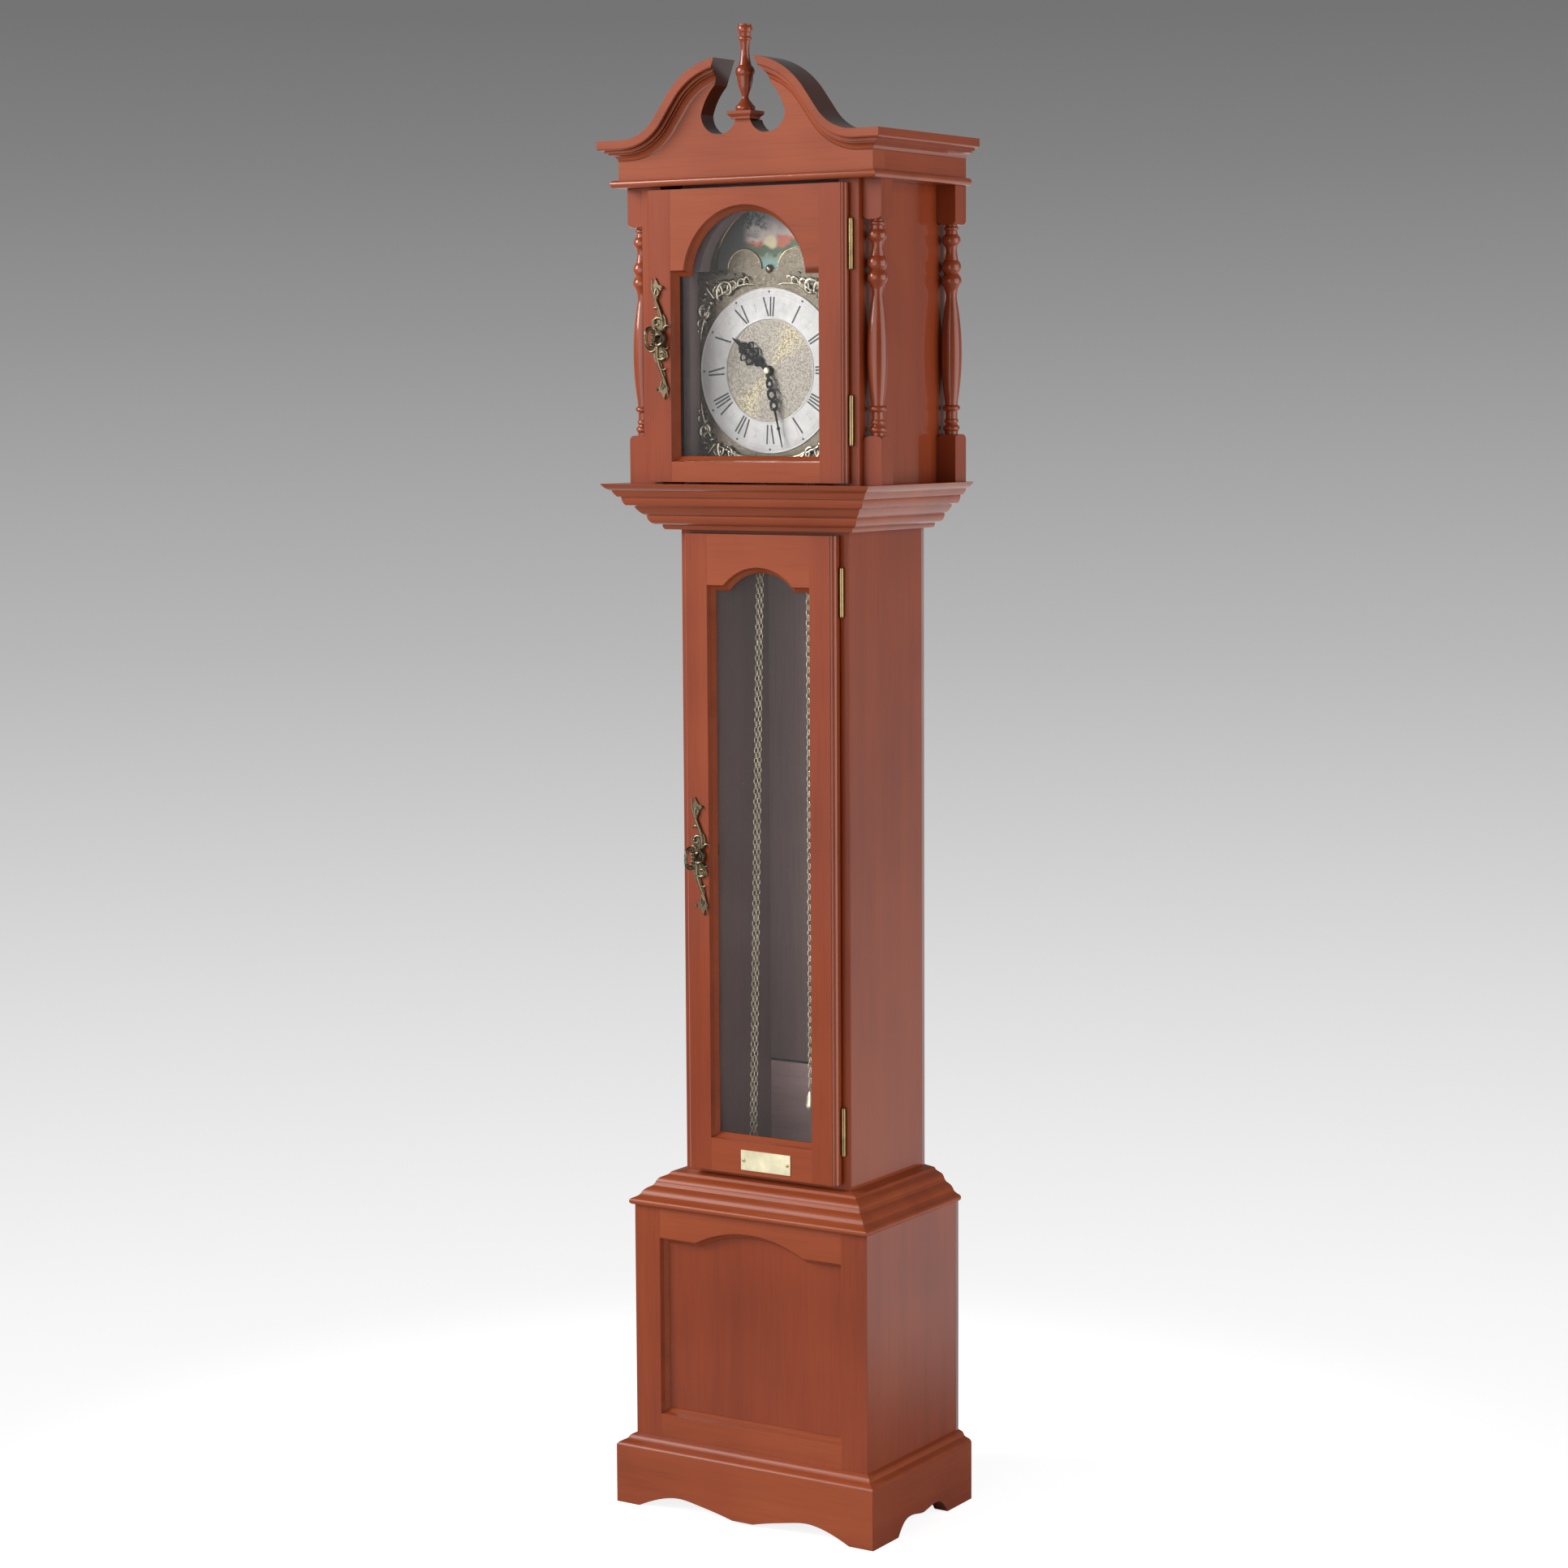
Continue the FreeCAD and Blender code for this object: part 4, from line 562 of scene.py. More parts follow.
FINISH = {
    pediment_wood: ["pediment_board", "swan_neck_left", "swan_neck_right"],
    satin_x: ["base_cap_moulding", "plinth_moulding"],
    wood_x: ["plinth_front", "trunk_head_rail", "trunk_foot_rail", "waist_moulding", "frieze_bead",
             "hood_top", "hood_floor", "finial_block"],
    wood_y: ["plinth_sides", "frieze_boards", "side_cornices"],
    wood_z: ["base_panel", "base_sides", "hood_sides", "hood_stiles", "turned_columns", "finial"],
    hood_door_wood: ["hood_door_frame"],
    trunk_door_wood: ["trunk_door_frame"],
    base_frame_wood: ["base_front_frame"],
    trunk_side_wood: ["trunk_sides"],
    back_wood: ["trunk_back"],
    inner_wood: ["base_floor", "base_top", "base_back", "trunk_keeper", "hood_back", "seat_board"],
    mask_board: ["dial_mask"],
    glass: ["hood_door_glass", "trunk_door_glass"],
    antique_brass: ["hood_pull", "trunk_pull", "hood_pull_plate", "trunk_pull_plate"],
    spandrel_ground: ["spandrels"],
    hinge_brass: ["hinge_case_leaves", "hood_hinge_leaves", "trunk_hinge_leaves"],
    brass: ["movement_plates", "movement_pillars", "chain_wheel_left", "chain_wheel_centre",
            "chain_wheel_right", "hand_nut"],
    chain_brass: ["chains", "chain_ends"],
    plate_brass: ["name_plate"],
    silvered: ["chapter_ring"],
    bronze_dial: ["dial_plate"],
    centre_brass: ["dial_centre"],
    moon_paint: ["moon_disc"],
    hand_black: ["hour_hand", "minute_hand"],
}


def dress(node, material):
    """Give a CAD node its finish."""
    slots = nodes[node].data.materials
    slots.clear()
    slots.append(material)


for finish, names in FINISH.items():
    for node_name in names:
        dress(node_name, finish)


# Shapes as (vertices, faces)

def joined(shapes):
    """Several shapes as one."""
    vertices, faces = [], []
    for points, sides in shapes:
        start = len(vertices)
        vertices += points
        faces += [tuple(start + i for i in side) for side in sides]
    return vertices, faces


def moved(shape, matrix):
    """A shape in another place."""
    return [matrix @ Vector(v) for v in shape[0]], shape[1]


def loops(rows, closed):
    """Faces between rings of points of one length, with ends filled unless the run closes on itself."""
    count, sides = len(rows), len(rows[0])
    vertices = [v for row in rows for v in row]
    faces = []
    for i in range(count if closed else count - 1):
        a, b = i * sides, ((i + 1) % count) * sides
        for k in range(sides):
            n = (k + 1) % sides
            faces.append((a + k, b + k, b + n, a + n))
    if not closed:
        faces.append(tuple(range(sides)))
        faces.append(tuple(range(count * sides - 1, (count - 1) * sides - 1, -1)))
    return vertices, faces


STEEP = 0.95


def tube(path, radii, sides=8, closed=False, flatness=1.0):
    """A round bar along a path with a radius at each point; flatness below 1 thins it along Y."""
    count = len(path)
    rows = []
    up = Vector((0, 1, 0))
    for i, point in enumerate(path):
        before = path[i - 1] if i or closed else point
        after = path[(i + 1) % count] if i + 1 < count or closed else point
        along = (after - before).normalized()
        if abs(along.dot(up)) > STEEP:
            up = along.orthogonal()
        side = along.cross(up).normalized()
        lift = side.cross(along).normalized()
        turn = [2 * math.pi * k / sides for k in range(sides)]
        ways = [side * math.cos(t) + lift * (math.sin(t) * flatness) for t in turn]
        rows.append([point + radii[i] * way for way in ways])
    return loops(rows, closed)


def lathe(profile, sides=24):
    """A turned shape about the Y axis from (radius, depth) points; it faces -Y."""
    rows = []
    for radius, depth in profile:
        turn = [2 * math.pi * k / sides for k in range(sides)]
        rows.append([Vector((radius * math.cos(t), depth, radius * math.sin(t))) for t in turn])
    return loops(rows, False)


BALL_START, BALL_SPAN = 0.03, 0.94


def ball(centre, radius, sides=8):
    """A small round bead, cut a little short at its two ends."""
    steps = sides // 2
    angles = [math.pi * (BALL_START + BALL_SPAN * i / steps) for i in range(steps + 1)]
    shape = lathe([(radius * math.sin(a), -radius * math.cos(a)) for a in angles], sides)
    return moved(shape, Matrix.Translation(centre))


def ribbon(points, widths, front, back, closed=False):
    """A flat strip through points in the XZ plane, between two depths."""
    count = len(points)
    rows = []
    for i, point in enumerate(points):
        before = points[i - 1] if i or closed else point
        after = points[(i + 1) % count] if i + 1 < count or closed else point
        along = (Vector(after) - Vector(before)).normalized()
        side = Vector((-along[1], along[0])) * (widths[i] / 2)
        left, right = Vector(point) + side, Vector(point) - side
        rows.append([Vector((left[0], front, left[1])), Vector((right[0], front, right[1])),
                     Vector((right[0], back, right[1])), Vector((left[0], back, left[1]))])
    return loops(rows, closed)


def scroll_path(x, z, heading, length, first_bend, last_bend, steps):
    """A curve in the XZ plane; its bend changes evenly, in degrees over the whole length."""
    points = [Vector((x, 0, z))]
    angle = math.radians(heading)
    for i in range(steps):
        share = (i + 0.5) / steps
        angle += math.radians(first_bend + (last_bend - first_bend) * share) / steps
        points.append(points[-1] + Vector((math.cos(angle), 0, math.sin(angle))) * (length / steps))
    return points


SCROLL_STEPS = 18


def scroll(row, unit, flatness=0.7):
    """One cast scroll: x, z, heading, length, first and last bend, first, middle and last radius."""
    x, z, heading, length, first_bend, last_bend, thick, middle, thin = row
    path = scroll_path(x * unit, z * unit, heading, length * unit, first_bend, last_bend, SCROLL_STEPS)
    radii = []
    for i in range(SCROLL_STEPS + 1):
        share = 2 * i / SCROLL_STEPS
        low, high, part = (thick, middle, share) if share < 1 else (middle, thin, share - 1)
        radii.append((low + (high - low) * part) * unit)
    return tube(path, radii, flatness=flatness)


def piece(name, shape, material, body, smooth=True):
    """A mesh piece that rides on a body."""
    data = bpy.data.meshes.new(name)
    data.from_pydata([tuple(v) for v in shape[0]], [], shape[1])
    mesh = bmesh.new()
    mesh.from_mesh(data)
    bmesh.ops.recalc_face_normals(mesh, faces=mesh.faces)
    mesh.to_mesh(data)
    mesh.free()
    data.materials.append(material)
    for polygon in data.polygons:
        polygon.use_smooth = smooth
    thing = bpy.data.objects.new(name, data)
    bpy.context.scene.collection.objects.link(thing)
    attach(thing, body)
    return thing


# Dial

CIRCLE_STEPS = 120
HOUR_TURN, MINUTE_TURN = math.radians(30), math.radians(6)
HOURS = ["XII", "I", "II", "III", "IIII", "V", "VI", "VII", "VIII", "IX", "X", "XI"]
NUMERAL_INNER, NUMERAL_OUTER = 65.5 * MM, 89 * MM
GLYPH_WIDTH = {"I": 4.2 * MM, "V": 7.6 * MM, "X": 8.2 * MM}
THICK_STROKE, THIN_STROKE = 2.2 * MM, 0.6 * MM
INK_HEIGHT = 0.12 * MM
TRACK_RADII = (91.6 * MM, 95.6 * MM)
TRACK_WIDTH = 0.35 * MM
DOT_RADIUS, DOT_SIZE = 95.2 * MM, 2.5 * MM
RIM_RADII, RIM_SIZE = (63 * MM, 99.2 * MM), 0.7 * MM
ORNAMENT_RADIUS = 77.5 * MM
ORNAMENT_LINE, ORNAMENT_STEPS = 0.5 * MM, 10
ORNAMENT_SCROLLS = [(0, -6, 90, 13, 0, 0), (0, -4, 60, 9, -60, -380), (0, -4, 120, 9, 60, 380),
                    (0, 2, 50, 7, 80, 420), (0, 2, 130, 7, -80, -420)]


def dial_point(along, radius, hour_angle):
    """A place on the ring from a sideways step and a radius, with the sides running to the centre."""
    middle = (NUMERAL_INNER + NUMERAL_OUTER) / 2
    angle = hour_angle + along / middle
    return radius * math.sin(angle), dial_z + radius * math.cos(angle)


def stroke(x0, x1, width, hour_angle, r0=NUMERAL_INNER, r1=NUMERAL_OUTER):
    """One straight pen stroke of a numeral, from its foot to its head."""
    ends = [dial_point(x0, r0, hour_angle), dial_point(x1, r1, hour_angle)]
    return ribbon(ends, [width, width], ring_front - INK_HEIGHT, ring_front)


def numeral(text, hour_angle):
    """Thick and thin strokes of a Roman numeral with its feet towards the dial's centre."""
    thick, thin = [], []
    x = -sum(GLYPH_WIDTH[letter] for letter in text) / 2
    for letter in text:
        width = GLYPH_WIDTH[letter]
        left, middle, right = x + THICK_STROKE / 2, x + width / 2, x + width - THICK_STROKE / 2
        foot, head = {"I": (middle, middle), "V": (middle, left), "X": (right, left)}[letter]
        thick.append(stroke(foot, head, THICK_STROKE, hour_angle))
        if letter != "I":
            thin.append(stroke(left if letter == "X" else middle, right, THIN_STROKE, hour_angle))
        x += width
    return thick, thin


def circle_line(radius, width):
    """A thin printed circle."""
    points = [dial_point(0, radius, 2 * math.pi * i / CIRCLE_STEPS) for i in range(CIRCLE_STEPS)]
    return ribbon(points, [width] * CIRCLE_STEPS, ring_front - INK_HEIGHT, ring_front, closed=True)


def ring_rim(radius):
    """A fine raised rim round the ring."""
    turn = [2 * math.pi * i / CIRCLE_STEPS for i in range(CIRCLE_STEPS)]
    path = [Vector((radius * math.sin(t), ring_front, dial_z + radius * math.cos(t))) for t in turn]
    return tube(path, [RIM_SIZE] * CIRCLE_STEPS, sides=6, closed=True)


def minute_track():
    """Two circles with a tick for each minute."""
    shapes = [circle_line(radius, TRACK_WIDTH) for radius in TRACK_RADII]
    for i in range(60):
        ends = [dial_point(0, radius, MINUTE_TURN * i) for radius in TRACK_RADII]
        shapes.append(ribbon(ends, [TRACK_WIDTH] * 2, ring_front - INK_HEIGHT, ring_front))
    return joined(shapes)


def hour_dots():
    """A small square at each hour on the minute track."""
    shapes = []
    for i in range(len(HOURS)):
        ends = [dial_point(0, DOT_RADIUS + side * DOT_SIZE / 2, HOUR_TURN * i) for side in (-1, 1)]
        shapes.append(ribbon(ends, [DOT_SIZE] * 2, ring_front - 2 * INK_HEIGHT, ring_front))
    return joined(shapes)


def ornament(angle):
    """A faint printed flourish between two numerals."""
    shapes = []
    turn = Matrix.Rotation(angle, 4, "Y")
    place = Matrix.Translation((0, 0, dial_z)) @ turn @ Matrix.Translation((0, 0, ORNAMENT_RADIUS))
    for x, z, heading, length, first_bend, last_bend in ORNAMENT_SCROLLS:
        path = scroll_path(x * MM, z * MM, heading, length * MM, first_bend, last_bend, ORNAMENT_STEPS)
        flat = [(p[0], p[2]) for p in path]
        strip = ribbon(flat, [ORNAMENT_LINE] * len(flat), ring_front - INK_HEIGHT, ring_front)
        shapes.append(moved(strip, place))
    return joined(shapes)


def make_dial():
    """Print on the ring, gold lines on the humps, the boss and the nut."""
    bold, fine = [hour_dots()], [minute_track()]
    for i, text in enumerate(HOURS):
        thick, thin = numeral(text, HOUR_TURN * i)
        bold += thick
        fine += thin
    piece("hour_numerals", joined(bold), numeral_ink, "case", smooth=False)
    piece("ring_rims", joined([ring_rim(radius) for radius in RIM_RADII]), silvered, "case")
    piece("fine_print", joined(fine), track_ink, "case", smooth=False)
    flourishes = joined([ornament(HOUR_TURN * (i + 0.5)) for i in range(len(HOURS))])
    piece("ring_ornaments", flourishes, faint_ink, "case", smooth=False)
    piece("hump_lines", hump_lines(), brass, "case")
    make_boss()
    make_nut()


HUMP_X, HUMP_RADIUS, HUMP_STEPS = 36 * MM, 24 * MM, 24
HUMP_LINE = 0.55 * MM
APERTURE_RADIUS, APERTURE_STEPS = 77 * MM, 40
APERTURE_START, APERTURE_TURN = math.radians(20), math.radians(140)


def gold_arc(x, radius, start, turn, steps):
    """A raised gold line along an arc whose centre is level with the moon disc's."""
    angles = [start + turn * i / steps for i in range(steps + 1)]
    path = [Vector((x + radius * math.cos(t), plate_front, moon_z + radius * math.sin(t))) for t in angles]
    return tube(path, [HUMP_LINE] * len(path), sides=6)


def hump_lines():
    """Raised gold edges round the two humps and the arch of the moon's opening."""
    shapes = [gold_arc(side * HUMP_X, HUMP_RADIUS, 0.0, math.pi, HUMP_STEPS) for side in (-1, 1)]
    shapes.append(gold_arc(0.0, APERTURE_RADIUS, APERTURE_START, APERTURE_TURN, APERTURE_STEPS))
    return joined(shapes)


# Turned profiles as radius and depth: the boss in millimetres, the nut in shares of its size

MOON_BOSS_PROFILE = [(5.2, 0), (5.2, -0.8), (4.4, -1.4), (4.3, -2.2), (3.4, -3.4), (2.0, -4.1), (0.6, -4.4)]
NUT_PROFILE = [(0.95, 0), (1.0, -0.12), (1.0, -0.3), (0.86, -0.62),
               (0.6, -0.86), (0.25, -0.97), (0.06, -1.0)]


def make_boss():
    """Domed cover over the moon's stud."""
    dome = lathe([(r * MM, y * MM) for r, y in MOON_BOSS_PROFILE])
    piece("moon_boss", moved(dome, Matrix.Translation((0, plate_front, moon_z))), bronze_dial, "case")


def make_nut():
    """Domed nut that holds the hands."""
    low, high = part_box("hand_nut")
    radius, height = (high[0] - low[0]) / 2, high[1] - low[1]
    dome = lathe([(r * radius, y * height) for r, y in NUT_PROFILE])
    place = Matrix.Translation((0, high[1], dial_z))
    nut = piece("domed_nut", moved(dome, place), plate_brass, "minute_hand")
    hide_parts("hand_nut")


# Cast ornament, as scrolls in millimetres: x, z, heading, length, bends, radii

SPANDREL_SCROLLS = [
    (74, 90, 152, 64, 10, 70, 1.5, 1.6, 0.4),
    (84, 80, -58, 46, -20, -40, 1.5, 1.6, 0.4),
    (72, 86, 62, 58, 120, 520, 2.6, 3.6, 1.6),
    (80, 82, 28, 52, -120, -520, 2.6, 3.6, 1.6),
    (58, 97, 75, 32, 100, 480, 2.0, 2.8, 1.3),
    (43, 102, 70, 24, 100, 480, 1.7, 2.3, 1.1),
    (33, 105, 60, 16, 60, 420, 1.3, 1.8, 0.8),
    (92, 64, 10, 26, -60, -480, 2.0, 2.6, 1.2),
    (96, 52, 10, 14, -60, -440, 1.4, 1.8, 0.8),
    (66, 92, 100, 26, -60, -300, 2.0, 3.0, 0.8),
    (86, 74, 350, 16, 60, 300, 1.8, 2.6, 0.8),
    (78, 88, 48, 34, 20, -60, 2.2, 3.2, 0.7),
    (70, 96, 80, 18, -40, -120, 1.6, 2.8, 0.4),
    (88, 84, 8, 16, 40, 120, 1.6, 2.8, 0.4),
    (62, 94, 128, 16, 30, 160, 1.4, 2.4, 0.4),
    (52, 99, 118, 14, 30, 180, 1.3, 2.2, 0.4),
    (91, 72, -60, 15, -30, -160, 1.4, 2.4, 0.4),
    (80, 96, 100, 14, 40, 180, 1.3, 2.2, 0.5),
    (90, 88, -10, 12, -40, -180, 1.3, 2.2, 0.5),
]
SPANDREL_BEADS = [(60, 108, 2.6), (46, 111, 2.0), (70, 108, 2.4),
                  (96, 76, 2.4), (90, 94, 2.9), (88, 108, 2.6)]


def spandrel_relief():
    """The four cast corner ornaments."""
    corner = [scroll(row, MM) for row in SPANDREL_SCROLLS]
    corner += [ball((x * MM, 0, z * MM), radius * MM) for x, z, radius in SPANDREL_BEADS]
    one = joined(corner)
    place = Matrix.Translation((0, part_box("spandrels")[0][1], dial_z))
    shapes = []
    for side in (-1, 1):
        for end in (-1, 1):
            shapes.append(moved(one, place @ Matrix.Diagonal((side, 1, end, 1))))
    relief = piece("spandrel_relief", joined(shapes), spandrel_brass, "case")


PULL_SCROLLS = [
    (3, 8, 68, 67, 165, -130, 2.6, 2.3, 0.6),
    (5.5, 22, 140, 27, 40, 520, 2.4, 2.0, 1.3),
    (6, 12, 60, 12, -60, -160, 2.0, 1.8, 0.8),
    (-3, 48, 130, 14, -20, -170, 1.8, 1.9, 0.8),
    (-3.5, 51, 48, 12, 40, 190, 1.8, 1.7, 1.2),
    (1, 33, 118, 13, 30, 230, 1.6, 1.7, 0.8),
    (-4, 9, 120, 11, 60, 200, 1.8, 1.8, 1.0),
]
PULL_BEADS = [(-6.4, 20.5, 2.6), (4.2, 61.5, 2.0)]
PULL_RELIEF_DEPTH = 2.6 * MM
BOSS_BEADS, BOSS_BEAD_RADIUS = 22, 1.2 * MM
BOSS_RING, BOSS_RING_DEPTH = 9.0 * MM, 7.4 * MM
BOSS_PROFILE = [(9.8, 0), (9.8, -5.4), (9.0, -7.6), (7.6, -7.9),
                (7.0, -7.2), (5.6, -7.4), (3.4, -8.6), (3.1, -9.4)]


def pull_relief(name, node, body):
    """Scrolls and beaded boss over one pull plate."""
    low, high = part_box(node)
    centre = Vector(((low[0] + high[0]) / 2, 0, (low[2] + high[2]) / 2))
    front = high[1] - PULL_RELIEF_DEPTH
    half = [scroll(row, MM) for row in PULL_SCROLLS]
    half += [ball((x * MM, 0, z * MM), radius * MM) for x, z, radius in PULL_BEADS]
    upper = joined(half)
    lower = moved(upper, Matrix.Rotation(math.pi, 4, "Y"))
    scrolls = moved(joined([upper, lower]), Matrix.Translation(centre + Vector((0, front, 0))))
    boss = [lathe([(r * MM, y * MM) for r, y in BOSS_PROFILE], sides=32)]
    for i in range(BOSS_BEADS):
        turn = 2 * math.pi * i / BOSS_BEADS
        place = Vector((BOSS_RING * math.cos(turn), -BOSS_RING_DEPTH, BOSS_RING * math.sin(turn)))
        boss.append(ball(place, BOSS_BEAD_RADIUS))
    boss = moved(joined(boss), Matrix.Translation(centre + Vector((0, high[1], 0))))
    piece(name, joined([scrolls, boss]), antique_brass, body)


BOW_BEADS = 16
BOW_BEAD_RADIUS = 2.7 * MM
BOW_DEPTH, BOW_HEIGHT, BOW_INSET = 20 * MM, 29 * MM, 2.2 * MM


def bow_beads(name, node, body):
    """Knobs cast round the bow of one pull."""
    low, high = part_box(node)
    x, z = (low[0] + high[0]) / 2, (low[2] + high[2]) / 2
    middle = low[1] + BOW_DEPTH / 2
    reach_y, reach_z = BOW_DEPTH / 2 - BOW_INSET, BOW_HEIGHT / 2 - BOW_INSET
    shapes = []
    for i in range(BOW_BEADS):
        turn = 2 * math.pi * i / BOW_BEADS
        place = Vector((x, middle + math.cos(turn) * reach_y, z + math.sin(turn) * reach_z))
        shapes.append(ball(place, BOW_BEAD_RADIUS, sides=10))
    piece(name, joined(shapes), antique_brass, body)


# Chains

LINK_PITCH, LINK_LENGTH, LINK_WIDTH, LINK_WIRE = 6.4 * MM, 8.8 * MM, 6.0 * MM, 0.62 * MM
CHAIN_LEAN = math.radians(1.2)
LONG_DROP, MIDDLE_DROP, SHORT_DROP, STOP_DROP = 945 * MM, 933 * MM, 855 * MM, 75 * MM
WHEEL_LIP = 1.9 * MM
LINK_ROLLS = (math.radians(-52), math.radians(28))
LINK_STEPS = 5


def link_shape():
    """One oval link in the XZ plane, long along Z."""
    radius = LINK_WIDTH / 2 - LINK_WIRE
    lift = LINK_LENGTH / 2 - LINK_WIRE - radius
    path = []
    for end in (1, -1):
        for i in range(LINK_STEPS + 1):
            turn = math.pi * i / LINK_STEPS
            path.append(Vector((end * radius * math.cos(turn), 0, end * (lift + radius * math.sin(turn)))))
    return tube(path, [LINK_WIRE] * len(path), sides=5, closed=True)


def chain_route(x, wheel_z, radius, left, right):
    """Points a link apart along one chain: up its left strand, over the wheel and down the right."""
    path = []
    for side, (lean, drop) in ((-1, left), (1, right)):
        start = Vector((x + side * radius * math.cos(lean), 0, wheel_z + side * radius * math.sin(lean)))
        count = int((start.z - wheel_z + drop) / math.cos(lean) / LINK_PITCH)
        down = Vector((math.sin(lean), 0, -math.cos(lean)))
        strand = [(start + down * (LINK_PITCH * (i + 0.5)), down) for i in range(count)]
        path += strand[::-1] if side < 0 else over_wheel(x, wheel_z, radius) + strand
    return path


def over_wheel(x, wheel_z, radius):
    """Links that lie on the wheel, from left to right."""
    count = int(math.pi * radius / LINK_PITCH)
    places = []
    for i in range(count):
        turn = math.pi * (1 - (i + 0.5) / count)
        spot = Vector((x + radius * math.cos(turn), 0, wheel_z + radius * math.sin(turn)))
        places.append((spot, Vector((math.sin(turn), 0, -math.cos(turn)))))
    return places


def make_chains():
    """Three chains of separate oval links."""
    one = link_shape()
    low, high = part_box("chain_wheel_centre")
    wheel_z = (low[2] + high[2]) / 2
    radius = (high[2] - low[2]) / 2 - WHEEL_LIP
    side_low, side_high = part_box("chain_wheel_right")
    spacing = (side_low[0] + side_high[0]) / 2
    chain_low, chain_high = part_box("chains")
    y = (chain_low[1] + chain_high[1]) / 2
    straight, left, right = 0.0, -CHAIN_LEAN, CHAIN_LEAN
    routes = [(-spacing, (straight, STOP_DROP), (left, LONG_DROP)),
              (0, (left, MIDDLE_DROP), (straight, SHORT_DROP)),
              (spacing, (right, LONG_DROP), (straight, STOP_DROP))]
    shapes = []
    for x, left_strand, right_strand in routes:
        for i, (spot, along) in enumerate(chain_route(x, wheel_z, radius, left_strand, right_strand)):
            turn = along.to_track_quat("Z", "Y").to_matrix().to_4x4()
            roll = Matrix.Rotation(LINK_ROLLS[i % 2], 4, "Z")
            shapes.append(moved(one, Matrix.Translation(spot + Vector((0, y, 0))) @ turn @ roll))
    links = piece("chain_links", joined(shapes), chain_brass, "case")
    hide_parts("chains")


# Small fittings

HINGE_LENGTH = 58 * MM
SCREW_INSET = 4 * MM
TIP_PROFILE = [(2.0, 0), (2.3, 0.3), (2.1, 0.8), (1.4, 1.2), (0.3, 1.4)]
SCREW_PROFILE = [(2.2, 0), (2.2, -0.5), (1.9, -0.9), (1.2, -1.2), (0.4, -1.3)]


def hinge_tips(name, node, axis_x, axis_y):
    """Turned tips on both ends of a door's two hinge pins."""
    low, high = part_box(node)
    upright = lathe([(r * MM, -y * MM) for r, y in TIP_PROFILE], sides=12)
    stand = Matrix.Rotation(math.radians(-90), 4, "X")
    hang = Matrix.Rotation(math.radians(90), 4, "X")
    shapes = []
    for foot in (low[2], high[2] - HINGE_LENGTH):
        shapes.append(moved(upright, Matrix.Translation((axis_x, axis_y, foot + HINGE_LENGTH)) @ stand))
        shapes.append(moved(upright, Matrix.Translation((axis_x, axis_y, foot)) @ hang))
    piece(name, joined(shapes), hinge_brass, "case")


def plate_screws():
    """Two round screw heads on the bare plate."""
    low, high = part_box("name_plate")
    middle = (low[2] + high[2]) / 2
    head = lathe([(r * MM, y * MM) for r, y in SCREW_PROFILE], sides=16)
    places = [Vector((x, low[1], middle)) for x in (low[0] + SCREW_INSET, high[0] - SCREW_INSET)]
    piece("plate_screws", joined([moved(head, Matrix.Translation(p)) for p in places]), brass, "trunk_door")


def joint_place(name):
    """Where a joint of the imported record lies."""
    rows = frame["record"]["behaviour"]["joints"]
    return next(row["pos_m"] for row in rows if row["name"] == name)


def make_fittings():
    """Hinge tips, screws and cast pulls."""
    hood_axis = joint_place("hood_door_hinge")
    trunk_axis = joint_place("trunk_door_hinge")
    hinge_tips("hood_hinge_tips", "hood_hinge_leaves", hood_axis[0], hood_axis[1])
    hinge_tips("trunk_hinge_tips", "trunk_hinge_leaves", trunk_axis[0], trunk_axis[1])
    plate_screws()
    for door in ("hood", "trunk"):
        pull_relief(door + "_pull_scrolls", door + "_pull_plate", door + "_door")
        bow_beads(door + "_pull_knobs", door + "_pull", door + "_pull")


# Stage

def direction(tree):
    """The values of a direction into the world."""
    return split(tree, add(tree, "ShaderNodeTexCoord").outputs["Generated"])


def backdrop_colour(tree):
    """Grey above and white below, by the height of the direction."""
    share = add(tree, "ShaderNodeMapRange")
    feed(tree, share.inputs["Value"], direction(tree)["Z"])
    share.inputs["From Min"].default_value = BACKDROP_LOW
    share.inputs["From Max"].default_value = BACKDROP_HIGH
    span = BACKDROP_HIGH - BACKDROP_LOW
    stops = [((z - BACKDROP_LOW) / span, (v, v, v)) for z, v in BACKDROP_STOPS]
    return ramp(tree, share.outputs["Result"], stops)


def make_world():
    """The grey gradient, in full for the camera and through glass, weaker as light and in front gloss."""
    world = bpy.data.worlds.new("studio")
    bpy.context.scene.world = world
    world.use_nodes = True
    tree = world.node_tree
    view = tree.nodes["Background"]
    tree.links.new(backdrop_colour(tree), view.inputs["Color"])
    rays = add(tree, "ShaderNodeLightPath")
    seen = reckon(tree, "MAXIMUM", rays.outputs["Is Camera Ray"], rays.outputs["Is Transmission Ray"])
    behind = step(tree, direction(tree)["Y"], *ROOM_EDGE)
    gloss = reckon(tree, "MULTIPLY_ADD", behind, 1.0 - ROOM_GLOSS, ROOM_GLOSS)
    seen = reckon(tree, "MAXIMUM", seen, reckon(tree, "MULTIPLY", rays.outputs["Is Glossy Ray"], gloss))
    tree.links.new(reckon(tree, "MAXIMUM", seen, WORLD_LIGHT), view.inputs["Strength"])


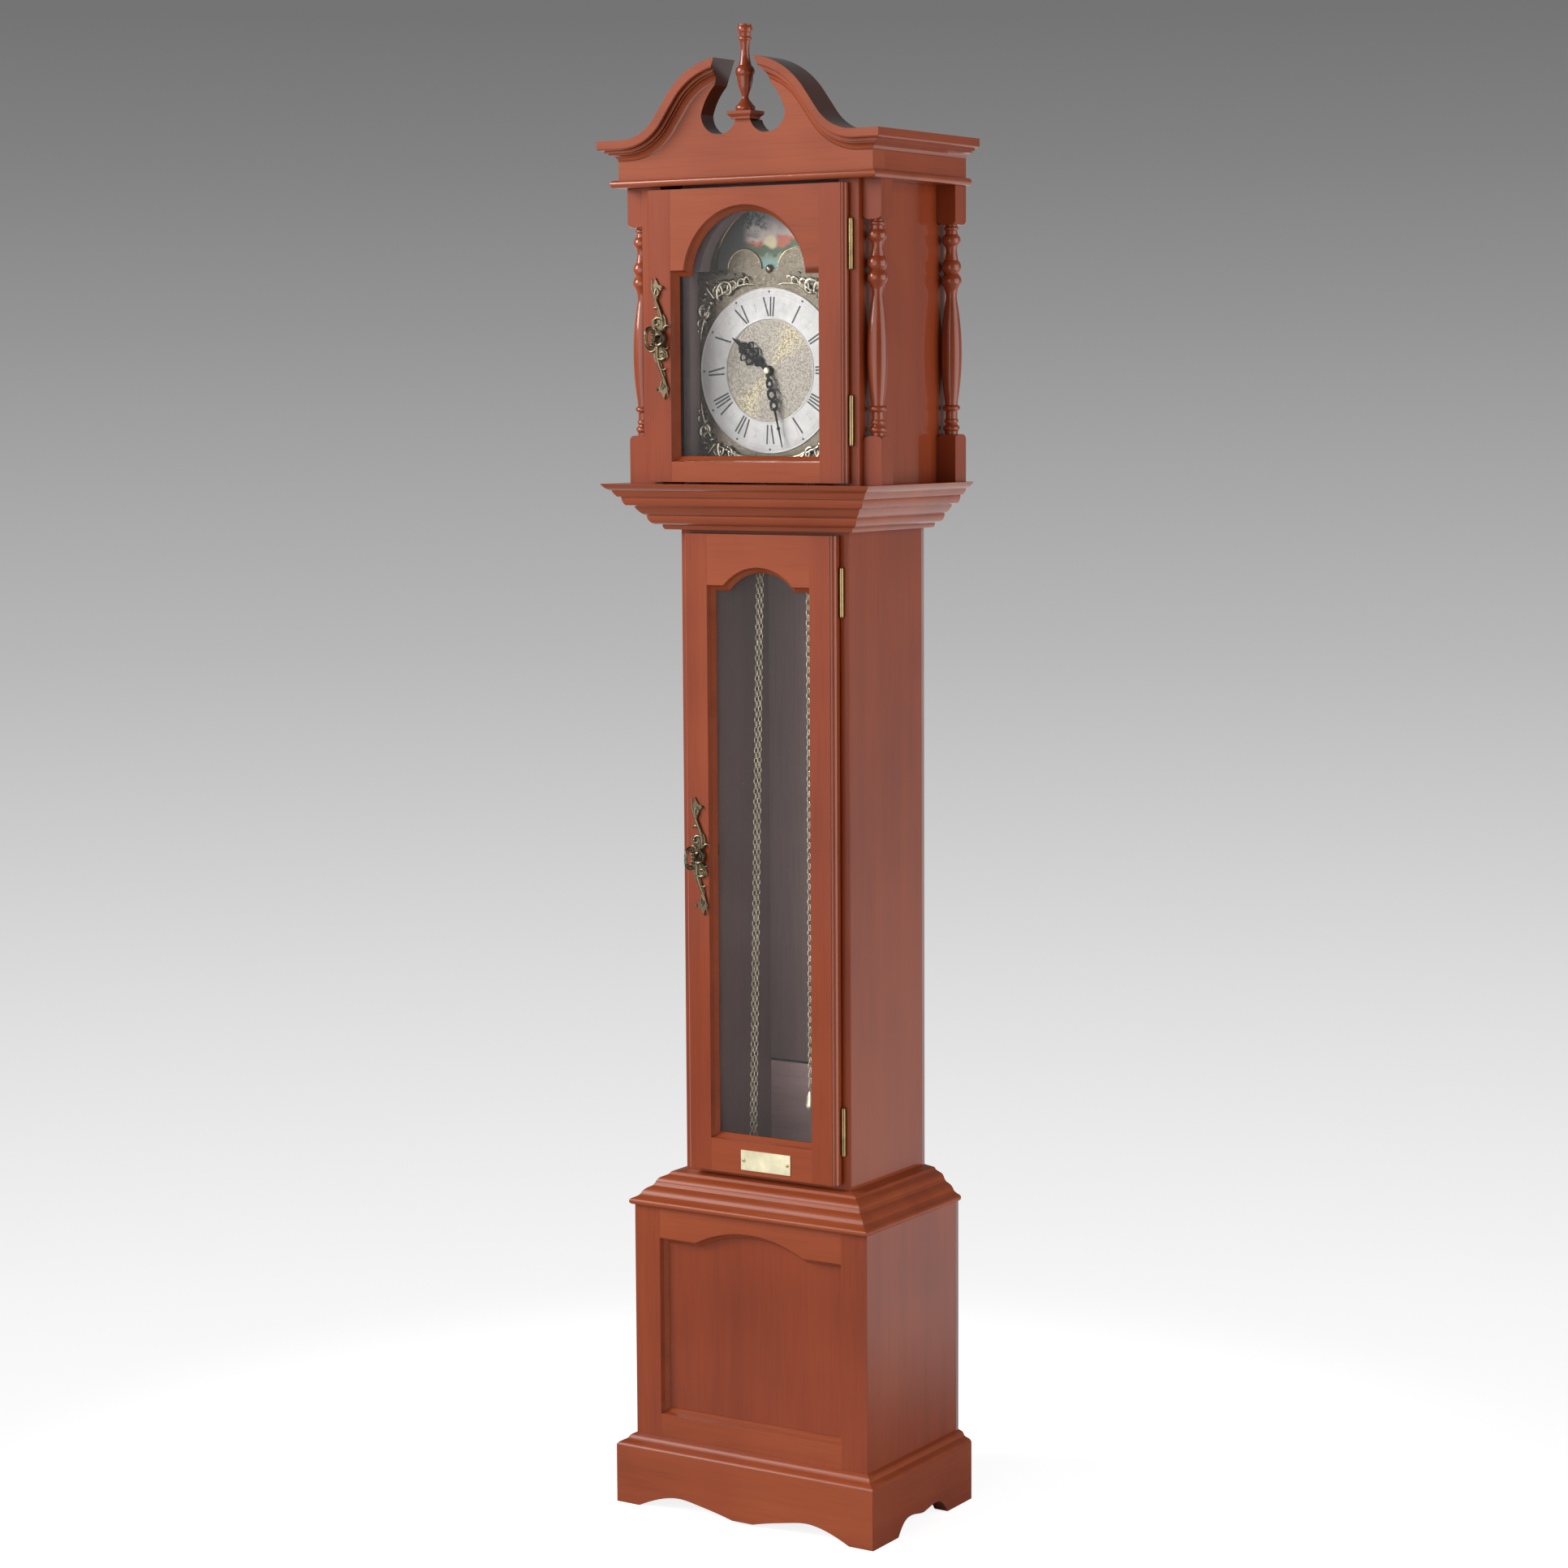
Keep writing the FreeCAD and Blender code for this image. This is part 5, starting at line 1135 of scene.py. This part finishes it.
def floor_light(tree, shader):
    """The lit floor with a glow that only the camera sees."""
    rays = add(tree, "ShaderNodeLightPath")
    glow = add(tree, "ShaderNodeEmission")
    strength = reckon(tree, "MULTIPLY", rays.outputs["Is Camera Ray"], FLOOR_GLOW)
    tree.links.new(strength, glow.inputs["Strength"])
    both = add(tree, "ShaderNodeAddShader")
    tree.links.new(shader.outputs[0], both.inputs[0])
    tree.links.new(glow.outputs[0], both.inputs[1])
    return both.outputs[0]


def make_floor():
    """White floor that keeps the shadow and fades out into the backdrop."""
    material, tree, shader = new_material("studio_floor")
    grit = noise(tree, place_vector(tree), scale=40.0)
    feed(tree, shader.inputs["Base Color"], ramp(tree, grit, FLOOR_STOPS))
    shader.inputs["Roughness"].default_value = 0.9
    clear = step(tree, length(tree, place_vector(tree)), *FLOOR_FADE)
    fade = add(tree, "ShaderNodeMixShader")
    hidden = add(tree, "ShaderNodeBsdfTransparent")
    tree.links.new(clear, fade.inputs["Fac"])
    tree.links.new(floor_light(tree, shader), fade.inputs[1])
    tree.links.new(hidden.outputs[0], fade.inputs[2])
    tree.links.new(fade.outputs[0], tree.nodes["Material Output"].inputs["Surface"])
    bpy.ops.mesh.primitive_circle_add(vertices=FLOOR_SIDES, radius=FLOOR_RADIUS, fill_type="NGON")
    floor = bpy.context.object
    floor.name = "studio_floor"
    floor.data.materials.append(material)


def lamp(name, place, target, size, power):
    """A soft square lamp aimed at a point."""
    data = bpy.data.lights.new(name, "AREA")
    data.size = size
    data.energy = power
    light = bpy.data.objects.new(name, data)
    light.location = place
    light.rotation_euler = (Vector(target) - Vector(place)).to_track_quat("-Z", "Y").to_euler()
    bpy.context.scene.collection.objects.link(light)


def make_lamps():
    """All lamps of the studio."""
    for row in LAMPS:
        lamp(*row)


def make_camera():
    """The photograph's camera."""
    data = bpy.data.cameras.new("photo_camera")
    data.sensor_width = SENSOR
    data.lens = CAMERA_LENS
    data.clip_end = 100
    camera = bpy.data.objects.new("photo_camera", data)
    turn = Matrix.Rotation(math.radians(CAMERA_YAW), 4, "Z")
    tilt = Matrix.Rotation(math.radians(90 + CAMERA_PITCH), 4, "X")
    roll = Matrix.Rotation(math.radians(CAMERA_ROLL), 4, "Z")
    camera.matrix_world = Matrix.Translation(CAMERA_PLACE) @ turn @ tilt @ roll
    bpy.context.scene.collection.objects.link(camera)
    bpy.context.scene.camera = camera


make_dial()
spandrel_relief()
make_chains()
make_fittings()
make_world()
make_floor()
make_lamps()
make_camera()
bpy.context.scene.view_settings.view_transform = "Standard"
